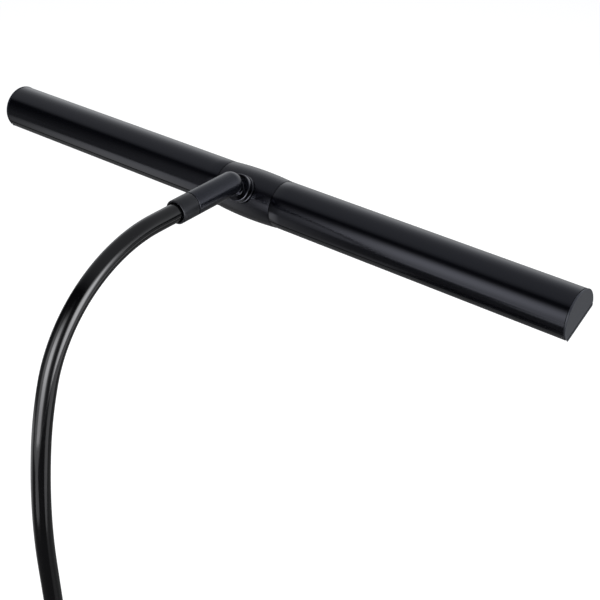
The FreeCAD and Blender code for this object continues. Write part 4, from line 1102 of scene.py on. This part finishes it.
@dataclass
class Base:
    """The weighted base: cover, pad, arm socket, push button with its spring, and power inlet."""

    width: float = 170.0
    depth: float = 140.0
    corner: float = 28.0
    top: float = 22.0
    lift: float = 0.8
    wall: float = 1.5
    edge: float = 4.0
    corner_points: int = 25
    edge_points: int = 13
    hem: Pairs = ((0.25, 0.0), (0.07, 0.07), (0.0, 0.25))
    hole_start: float = 15.0
    hole_end: float = 30.0
    hole_segments: int = 96
    pad_inset: float = 4.0
    pad_thick: float = 2.0
    pad_edge: Pairs = ((0.4, 0.0), (0.1, 0.12), (0.0, 0.45))
    pad_smooth: float = 50.0
    socket_barrel: float = 9.0
    socket_flange: float = 12.0
    socket_bore: float = 7.35
    socket_bore_low: float = 0.2
    socket_bore_edge: float = 0.3
    socket_slope: tuple[float, float] = (2.2, 2.4)
    socket_slope_edge: float = 0.9
    socket_edge: float = 0.8
    socket_foot_edge: float = 0.25
    button_radius: float = 7.9
    button_gap: float = 0.3
    button_dish: float = 0.45
    button_rim: float = 1.5
    button_edge: float = 0.7
    button_play: float = 0.15
    dish_points: int = 17
    button_segments: int = 96
    flange_out: float = 1.3
    flange_thick: float = 1.7
    stem_radius: float = 2.2
    moulded_edge: float = 0.2
    # The joint's travel of 1.2, and a little more to keep the wire clear of the flange.
    button_travel: float = 1.25
    spring_radius: float = 4.5
    spring_wire: float = 0.25
    spring_turns: int = 3
    steps_per_turn: int = 48
    wire_points: int = 12
    wire_smooth: float = 40.0
    jack_radius: float = 4.0
    jack_play: float = 0.05
    jack_hole: tuple[float, float] = (-2.0, 7.0)
    jack_flange: float = 5.5
    jack_flange_thick: float = 1.0
    jack_flange_edge: float = 0.35
    jack_flange_back: float = 0.1
    jack_edge: float = 0.3
    jack_bore: float = 2.75
    jack_floor: float = 1.5
    jack_pin: float = 1.0
    jack_pin_start: float = 1.6
    jack_pin_edge: float = 0.35
    jack_segments: int = 64
    foot: np.ndarray = field(default_factory=lambda: joint_place(Joint.ARM))

    def outline(self, draw: float = 0.0) -> np.ndarray:
        """The base's rounded rectangle, drawn in by a distance."""
        half_x, half_y, radius = self.width / 2 - draw, self.depth / 2 - draw, self.corner - draw
        corners = [(-half_x, -half_y), (half_x, -half_y), (half_x, half_y), (-half_x, half_y)]
        return rounded([(*corner, radius) for corner in corners], self.corner_points)

    def walls(self, stations: Sequence[tuple[float, float]]) -> np.ndarray:
        """The outline at several stations, each an inset and a height, as the rows of a grid."""
        outlines = np.stack([self.outline(draw) for draw, _ in stations])
        heights = np.array([height for _, height in stations])[:, None, None]
        return np.concatenate([outlines, heights + 0 * outlines[:, :, :1]], axis=2)

    def fold(self, radius: float) -> list[tuple[float, float]]:
        """Stations of the cover's round edge: inset edge - r cos(a), height top - edge + r sin(a)."""
        return [(self.edge - radius * math.cos(a), self.top - self.edge + radius * math.sin(a))
                for a in quarter(self.edge_points)]

    def cover(self) -> Piece:
        """The pressed cover: a wall, a round edge and a flat top, with the same again a wall inside it."""
        hem = [(draw, self.lift + rise) for draw, rise in self.hem]
        outer = self.walls(hem + self.fold(self.edge))
        inner = self.walls([(self.wall, self.lift)] + self.fold(self.edge - self.wall))
        shell = Shell().grid(outer, close_columns=True).grid(inner, close_columns=True)
        shell.grid(np.stack([inner[0], outer[0]]), close_columns=True).flat(outer[-1]).flat(inner[-1])
        (_, jack_back, _), jack = node_box("dc_jack")[0], node_middle("dc_jack")
        inlet = axes_along((jack[0], jack_back, jack[2]), AHEAD)
        through = (self.hole_start, self.hole_end, self.hole_segments)
        holes = [drill(upright(self.foot), self.socket_barrel, *through),
                 drill(upright(node_middle("push_button")), self.button_radius + self.button_gap, *through),
                 drill(inlet, self.jack_radius + self.jack_play, *self.jack_hole)]
        return weighted(bored(shell.build("cover_body", TURNED_SMOOTH_UNDER), *holes))

    def pad(self) -> Piece:
        """The soft pad under the base, with slightly round edges."""
        stations = [(self.pad_inset + draw, height) for draw, height in self.pad_edge]
        shell = Shell().bar(self.walls(stations + [(self.pad_inset, self.pad_thick)]))
        return weighted(shell.build("pad_body", self.pad_smooth))

    def socket(self) -> Piece:
        """The flanged socket: a barrel through the cover and a flange that rests on it."""
        (_, _, low), (_, _, high) = node_box("arm_socket")
        slope_in, slope_down = self.socket_slope
        profile = rounded([
            (self.socket_bore, low, self.socket_bore_low), (self.socket_barrel, low, self.socket_bore_edge),
            (self.socket_barrel, self.top, 0), (self.socket_flange, self.top, self.socket_foot_edge),
            (self.socket_flange, high - slope_down, self.socket_slope_edge),
            (self.socket_flange - slope_in, high, self.socket_edge),
            (self.socket_bore, high, self.socket_bore_edge)])
        return turned("socket_body", profile, upright(self.foot))

    def button(self) -> Piece:
        """The push button: a cap dished by a parabola, over a flange and a stem."""
        (_, _, low), (_, _, high) = node_box("push_button")
        dish = np.linspace(0, 1, self.dish_points)
        bowl = np.stack([(self.button_radius - self.button_rim) * dish,
                         high - self.button_dish * (1 - dish ** 2)], axis=1)
        flange, edge = self.button_radius + self.flange_out, self.moulded_edge
        flange_top = self.top - self.wall - self.button_play
        flange_low = flange_top - self.flange_thick
        body = rounded([
            (self.button_radius, high, self.button_edge), (self.button_radius, flange_top, 0),
            (flange, flange_top, edge), (flange, flange_low, edge), (self.stem_radius, flange_low, 0),
            (self.stem_radius, low, edge), (0.0, low, 0), (0.0, high, 0)])
        return turned("button_body", np.concatenate([bowl, body[:-1]]), upright(node_middle("push_button")),
                      self.button_segments, hollow=False)

    def spring(self) -> Piece:
        """The button's return spring: a wire ring carried round a helix of even pitch."""
        low, high = node_box("button_spring")
        steps = self.steps_per_turn * self.spring_turns + 1
        turn = np.linspace(0, FULL_TURN * self.spring_turns, steps)[:, None]
        outward = np.concatenate([np.cos(turn), np.sin(turn), 0 * turn], axis=1)
        height = np.linspace(low[2] + self.spring_wire, high[2] - self.spring_wire, steps)[:, None]
        line = (low + high) / 2 * [1, 1, 0] + self.spring_radius * outward + height * UP
        round_wire = np.linspace(0, FULL_TURN, self.wire_points, endpoint=False)[None, :, None]
        ring = np.cos(round_wire) * outward[:, None, :] + np.sin(round_wire) * UP
        shell = Shell().bar(line[:, None, :] + self.spring_wire * ring)
        return shell.build("spring_coil", self.wire_smooth)

    def fit_spring(self, shop: Workshop) -> None:
        """Fit the spring, on a mesh of its own."""
        coil = self.spring()
        shop.fit(coil, "base", SPRING, "button_spring")
        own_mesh(coil)

    def jack(self) -> Piece:
        """The barrel inlet: a flange on the back wall, a threaded body inside, and a pin in its bore."""
        low, high = node_box("dc_jack")
        middle, length = (low + high) / 2, high[1] - low[1]
        floor, edge = length - self.jack_floor, self.jack_edge
        profile = rounded([
            (self.jack_bore, 0, edge), (self.jack_flange, 0, self.jack_flange_edge),
            (self.jack_flange, self.jack_flange_thick, self.jack_flange_back),
            (self.jack_radius, self.jack_flange_thick, 0), (self.jack_radius, length, edge), (0.0, length, 0),
            (0.0, self.jack_pin_start, 0), (self.jack_pin, self.jack_pin_start, self.jack_pin_edge),
            (self.jack_pin, floor, 0), (self.jack_bore, floor, 0)])
        inlet = axes_along((middle[0], low[1], middle[2]), AHEAD)
        return turned("jack_body", profile, inlet, self.jack_segments)

    def make(self, shop: Workshop) -> None:
        """Build and fit the base."""
        self.fit_spring(shop)
        shop.fit(self.cover(), "base", COVER_PAINT, "base_cover")
        shop.fit(self.pad(), "base", PAD_FOAM, "base_pad")
        shop.fit(self.socket(), "base", ARM_PAINT, "arm_socket")
        shop.fit(self.button(), "button", BUTTON_PLASTIC, "push_button")
        shop.fit(self.jack(), "base", JACK_PLASTIC, "dc_jack")


# ---------------------------------------------------------------- studio

@dataclass(frozen=True)
class SoftBox:
    """A rectangular lamp that shines at the hub, and that no mirror shows."""

    name: str
    place: tuple[float, float, float]
    size: tuple[float, float]
    radiance: float

    def make(self, hub: np.ndarray) -> None:
        """Add the lamp, whose watts are pi times its radiance and area.

        Args:
            hub: The hub's centre, which its place is counted from.
        """
        data = bpy.data.lights.new(self.name, "AREA")
        data.shape = "RECTANGLE"
        data.size, data.size_y = (side * MM for side in self.size)
        data.energy = self.radiance * math.pi * data.size * data.size_y
        lamp = bpy.data.objects.new(self.name, data)
        place = Vector((hub + self.place) * MM)
        lamp.location = place
        lamp.rotation_euler = (Vector(hub * MM) - place).to_track_quat("-Z", "Y").to_euler()
        lamp.visible_camera = lamp.visible_glossy = False
        bpy.context.collection.objects.link(lamp)


@dataclass(frozen=True)
class Glow:
    """A soft light behind the tent's fabric, by levels round the lamp and by its share at each height.

    Angles round the lamp run from -Y (0) towards +X (90), and heights from the level of the hub (0).
    """

    name: str
    round_levels: Pairs
    height_shares: Pairs
    mirrored_by: tuple[str, ...] = ()


FRONT_HEIGHTS: Pairs = (
    (-44, 0.2), (-34, 0.55), (-21, 0.60), (-16, 0.5), (-12, 0.52), (-4, 0.74), (4, 0.92), (12, 0.92),
    (18, 0.8), (24, 0.54), (29, 0.3), (34, 0.08), (38, 0.01), (46, 0.0))
ROUND_PIECES = ("arm_tube_body", "sleeve_body", "collar_body", "swivel_tube_body")


@dataclass
class Tent:
    """The light tent: a dome over the lamp, dark on the camera's side, with soft lights behind its fabric.

    Its brightness depends on the angle round the light bar, from the level in front (0) over the top (90)
    to the level behind (180). A soft light in front comes on top of that. Two narrow strip lights hang just
    inside the tent, and only the round pieces that they are linked to mirror them.
    """

    side: float = 1100.0
    front: float = 1100.0
    back: float = 420.0
    strip_share: float = 0.99
    strip_step: float = 0.01
    full_level: float = 10.0
    columns: int = 120
    rows: int = 25
    cloth_colour: Colour = (0.96, 0.98, 1.0)
    levels: Pairs = (
        (-40, 0.12), (-10, 0.12), (0, 0.06), (16, 0.03), (28, 0.012), (50, 0.012), (58, 0.25), (66, 0.39),
        (76, 0.43), (110, 0.46), (124, 0.57), (136, 0.74), (144, 0.88), (152, 1.0), (166, 1.1), (178, 0.78),
        (194, 0.44), (208, 0.30), (240, 0.34))
    glow: Glow = Glow(
        "front", ((-60, 0.0), (-50, 0.06), (-44, 0.17), (-38, 0.20), (-34, 0.32), (-31, 0.60), (-28, 1.25),
                  (-23, 2.1), (-18, 2.3), (-12, 2.2), (-9, 2.1), (-3, 1.9), (6, 1.5), (18, 0.9), (30, 0.5),
                  (42, 0.25), (54, 0.0)), FRONT_HEIGHTS)
    strips: tuple[Glow, ...] = (
        Glow("front_strip", ((-9, 0.0), (-6, 2.4), (-3, 6.1), (0, 7.7), (6, 8.0), (18, 8.7), (24, 3.4),
                             (30, 0.4), (36, 0.0)),
             FRONT_HEIGHTS, (*ROUND_PIECES, "pivot_post_body", "hub_ring")),
        Glow("right_strip", ((50, 0.0), (58, 0.4), (64, 3.0), (70, 8.8), (90, 9.8), (96, 5.0), (102, 1.2),
                             (112, 0.3), (124, 0.0)),
             ((-46, 0.1), (-36, 0.35), (-28, 0.5), (-20, 0.7), (-12, 0.9), (0, 1.0), (12, 1.0), (20, 0.6),
              (28, 0.15), (36, 0.0)), ROUND_PIECES))
    hub: np.ndarray = field(default_factory=lambda: joint_place(Joint.HUB))

    def looked_up(self, tree: Tree, angle: Socket, table: Pairs, colour: Colour = (1.0, 1.0, 1.0)) -> Socket:
        """Look an angle up in a table. The ramp holds shares of the full level, which then scales them.

        Args:
            tree: The node tree.
            angle: The angle in radians.
            table: Pairs of degrees and level.
            colour: The light's colour.

        Returns:
            The level as a coloured vector.
        """
        low, high = table[0][0], table[-1][0]
        share = add_node(tree, "MapRange", {
            "Value": angle, "From Min": math.radians(low), "From Max": math.radians(high)})
        ramp = add_node(tree, "ValToRGB", {"Fac": share.outputs["Result"]})
        stops = ramp.color_ramp.elements
        for number, (degrees, level) in enumerate(table):
            where = (degrees - low) / (high - low)
            stop = stops.new(where) if 0 < number < len(table) - 1 else stops[0 if number == 0 else -1]
            stop.position = where
            stop.color = (*(level / self.full_level * part for part in colour), 1.0)
        return add_node(tree, "VectorMath", {0: ramp.outputs["Color"], "Scale": self.full_level},
                        operation="SCALE").outputs["Vector"]

    @staticmethod
    def angle(tree: Tree, rise: Socket, run: Socket, low: float = -180.0) -> Socket:
        """The angle atan2(rise, run), from a lowest value in degrees up to a full turn above it."""
        turn = worked_out(tree, "ARCTAN2", rise, run)
        return worked_out(tree, "WRAP", turn, math.radians(low) + FULL_TURN, math.radians(low))

    def material(self, name: str, glow: Glow, levels: Pairs = ()) -> bpy.types.Material:
        """A glowing fabric, whose levels are looked up by direction from the hub.

        Args:
            name: The material's name.
            glow: The soft light behind it.
            levels: The fabric's own levels; without them it is clear where the light is off.

        Returns:
            The material.
        """
        material, tree, shader = new_material(name)
        tree.nodes.remove(shader)
        place = add_node(tree, "TexCoord").outputs["Object"]
        from_hub = add_node(tree, "VectorMath", {0: place, 1: self.hub * MM}, operation="SUBTRACT")
        x, y, z = add_node(tree, "SeparateXYZ", {0: from_hub.outputs["Vector"]}).outputs
        front = worked_out(tree, "MULTIPLY", y, -1.0)
        square = worked_out(tree, "MULTIPLY", x, x)
        reach = worked_out(tree, "SQRT", worked_out(tree, "MULTIPLY_ADD", y, y, square))
        level = self.looked_up(tree, self.angle(tree, x, front), glow.round_levels)
        share = self.looked_up(tree, self.angle(tree, z, reach), glow.height_shares)
        product = add_node(tree, "VectorMath", {0: level, 1: share}, operation="MULTIPLY")
        light = add_node(tree, "Emission", {"Color": product.outputs["Vector"]})
        if levels:
            over = self.angle(tree, z, front, levels[0][0])
            lit = self.looked_up(tree, over, levels, self.cloth_colour)
            rest = add_node(tree, "Emission", {"Color": lit})
        else:
            rest = add_node(tree, "BsdfTransparent")
        both = add_node(tree, "AddShader", {0: light.outputs[0], 1: rest.outputs[0]})
        feed(tree.nodes["Material Output"], {"Surface": both.outputs[0]})
        return material

    def dome(self, name: str, share: float, material: bpy.types.Material) -> Piece:
        """A dome on the floor round the lamp, which only mirrors and glass see.

        A point at azimuth a and height angle h lies at (side cos a cos h, depth sin a cos h, side sin h),
        where depth is the front's or the back's.

        Args:
            name: The dome's name.
            share: Its size as a share of the tent's.
            material: What it is made of.

        Returns:
            The dome.
        """
        azimuth = np.linspace(0, FULL_TURN, self.columns, endpoint=False)[:, None]
        rise = quarter(self.rows)[None, :]
        depth = np.where(np.sin(azimuth) > 0, self.back, self.front)
        grid = np.stack([self.side * np.cos(azimuth) * np.cos(rise), depth * np.sin(azimuth) * np.cos(rise),
                         self.side * np.sin(rise) + 0 * azimuth], axis=-1)
        dome = Shell().grid(self.hub * [1, 1, 0] + share * grid, close_rows=True).build(name)
        dome.data.materials.append(material)
        dome.visible_camera = dome.visible_diffuse = dome.visible_shadow = False
        return dome

    def make(self) -> None:
        """Build the tent, and the strip lights with the pieces that they are linked to."""
        self.dome("tent", 1.0, self.material("tent_cloth", self.glow, self.levels))
        for number, strip in enumerate(self.strips):
            share = self.strip_share - self.strip_step * number
            dome = self.dome(strip.name, share, self.material(strip.name, strip))
            linked = bpy.data.collections.new(strip.name)
            for name in strip.mirrored_by:
                linked.objects.link(bpy.data.objects[name])
            dome.light_linking.receiver_collection = linked


@dataclass(frozen=True)
class PaintedShadeSheet:
    """Painted shade in reflections: a dark sheet on the floor, seen only in mirrors, with its outline from
    the hub's foot, its own level and the level of its lighter patch, a painted reflection.
    """

    name: str
    corners: Corners
    level: float
    painted_reflection_level: float


@dataclass
class Studio:
    """A pale floor, dark sheets that paint shade and a bright reflection into what mirrors show, soft lamps,
    a light tent and the camera.
    """

    floor_half: float = 6000.0
    floor_albedo: float = 0.86
    floor_roughness: float = 0.9
    floor_glow: float = 0.40
    # Painted shade in reflections: dark sheets on the floor that only mirrors see, each with a lighter oval
    # patch, a painted reflection.
    painted_shade_sheets: tuple[PaintedShadeSheet, ...] = (
        PaintedShadeSheet("front_cloth", (
            (-1050, -1050, 60), (-500, -1050, 60), (-400, -830, 60), (-110, -830, 20), (-110, -570, 60),
            (180, -570, 60), (180, -830, 20), (640, -830, 60), (880, -600, 60), (880, -235, 40),
            (-235, -235, 20), (-235, -110, 5), (-1050, -110, 5)), 0.075, 0.84),
        PaintedShadeSheet("side_cloth", ((-235, -235, 5), (300, -235, 5), (300, -110, 5), (-235, -110, 5)), 0.22, 0.22),
        PaintedShadeSheet("back_cloth", (
            (-1050, -110, 5), (300, -110, 5), (300, 20, 30), (360, 20, 30), (360, 410, 60),
            (-1050, 410, 60)), 0.15, 0.19))
    painted_shade_height: float = 0.6
    painted_reflection_place: tuple[float, float] = (-630.0, -500.0)
    painted_reflection_reach: tuple[float, float] = (900.0, 325.0)
    painted_reflection_turn: float = 56.5
    camera_place: tuple[float, float, float] = (431.55, -495.26, 335.68)
    camera_turn: float = 38.667
    camera_drop: float = 32.276
    camera_lens: float = 69.701
    camera_near: float = 10.0
    sensor: float = 36.0
    ambient: float = 0.60
    ambient_colour: Colour = (0.97, 0.98, 1.0)
    boxes: tuple[SoftBox, ...] = (
        SoftBox("lamp_above", (0, 100, 1300), (1800, 1500), 1.15),
        SoftBox("lamp_front", (150, -1300, 300), (800, 600), 1.9))
    hub: np.ndarray = field(default_factory=lambda: joint_place(Joint.HUB))

    @staticmethod
    def seen(tree: Tree) -> Socket:
        """A mask that is 1 for what the camera sees, straight, mirrored or through glass."""
        path = add_node(tree, "LightPath").outputs
        opaque = worked_out(tree, "MAXIMUM", path["Is Camera Ray"], path["Is Glossy Ray"])
        return worked_out(tree, "MAXIMUM", opaque, path["Is Transmission Ray"])

    def floor(self) -> None:
        """The floor: pale paper that is lifted to white, and keeps the lamp's shadow."""
        reach = self.floor_half
        corners = [[(-reach, -reach, 0), (reach, -reach, 0)], [(-reach, reach, 0), (reach, reach, 0)]]
        floor = Shell().grid(np.array(corners)).build("floor")
        material, tree, shader = new_material("pale_floor")
        feed(shader, {
            "Base Color": grey(self.floor_albedo), "Roughness": self.floor_roughness,
            "Specular IOR Level": 0.0, "Emission Color": grey(1.0),
            "Emission Strength": worked_out(tree, "MULTIPLY", self.seen(tree), self.floor_glow)})
        floor.data.materials.append(material)

    def painted_shade_sheet(self, cut: PaintedShadeSheet) -> None:
        """Painted shade in reflections: a dark sheet on the floor, with a lighter oval patch of painted
        reflection, which only mirrors and glass see.

        Args:
            cut: What the sheet of painted shade is like.
        """
        outline = rounded(cut.corners)
        height = np.full(len(outline), self.painted_shade_height - self.hub[2])
        painted_shade_sheet = Shell().flat(self.hub + np.column_stack([outline, height])).build(cut.name)
        material, tree, shader = new_material(cut.name)
        painted_reflection_x, painted_reflection_y = (self.hub[:2] + self.painted_reflection_place) * MM
        reach_x, reach_y = (reach * MM for reach in self.painted_reflection_reach)
        centred = add_node(tree, "Mapping", {
            "Vector": add_node(tree, "TexCoord").outputs["Object"], "Location": (painted_reflection_x, painted_reflection_y, 0.0),
            "Rotation": (0.0, 0.0, math.radians(self.painted_reflection_turn)), "Scale": (reach_x, reach_y, 10.0)},
            vector_type="TEXTURE")
        oval = add_node(tree, "TexGradient", {"Vector": centred.outputs["Vector"]}, gradient_type="SPHERICAL")
        # Painted shade and painted reflection: the ramp goes from the sheet's dark level to its lighter
        # patch's level, and the sheet glows with it.
        ramp = add_node(tree, "ValToRGB", {"Fac": oval.outputs["Fac"]})
        ramp.color_ramp.interpolation = "EASE"
        for stop, level in zip(ramp.color_ramp.elements, (cut.level, cut.painted_reflection_level)):
            stop.color = grey(level)
        feed(shader, {
            "Base Color": ramp.outputs["Color"], "Roughness": 1.0, "Specular IOR Level": 0.0,
            "Emission Color": ramp.outputs["Color"], "Emission Strength": self.floor_glow})
        painted_shade_sheet.data.materials.append(material)
        # The sheet is hidden from the camera, from diffuse light and from shadows, so it only paints shade
        # and reflection into mirrors.
        painted_shade_sheet.visible_camera = painted_shade_sheet.visible_diffuse = painted_shade_sheet.visible_shadow = False

    def world(self) -> None:
        """The room: white where it is seen, and a plain soft level where it lights."""
        world = bpy.data.worlds.new("studio")
        bpy.context.scene.world = world
        world.use_nodes = True
        tree = world.node_tree
        ambient = tree.nodes["Background"]
        feed(ambient, {"Color": (*self.ambient_colour, 1.0), "Strength": self.ambient})
        white = add_node(tree, "Background", {"Color": grey(1.0)})
        blend = add_node(tree, "MixShader", {
            "Fac": self.seen(tree), 1: ambient.outputs[0], 2: white.outputs[0]})
        feed(tree.nodes["World Output"], {"Surface": blend.outputs[0]})

    def camera(self) -> None:
        """The camera, turned from +Y towards -X and dropped below the level."""
        data = bpy.data.cameras.new("camera")
        data.sensor_width = self.sensor
        data.lens = self.camera_lens
        data.clip_start = self.camera_near * MM
        camera = bpy.data.objects.new("camera", data)
        camera.location = Vector((self.hub + self.camera_place) * MM)
        camera.rotation_euler = (math.radians(90 - self.camera_drop), 0.0, math.radians(self.camera_turn))
        bpy.context.collection.objects.link(camera)
        bpy.context.scene.camera = camera

    def make(self) -> None:
        """Build the studio."""
        self.floor()
        for cut in self.painted_shade_sheets:
            self.painted_shade_sheet(cut)
        Tent().make()
        self.world()
        for box in self.boxes:
            box.make(self.hub)
        self.camera()
        bpy.context.scene.view_settings.view_transform = "Standard"


# ---------------------------------------------------------------- all of it


def main() -> None:
    """Build the lamp and its studio."""
    logging.basicConfig(level=logging.INFO, format="%(name)s: %(message)s")
    shop = Workshop()
    for group in (Base(), Arm(), Swivel(), Hub(), *(BarHalf(side) for side in Side)):
        group.make(shop)
    shop.dress_kept()
    Studio().make()


if __name__ == "__main__":
    main()
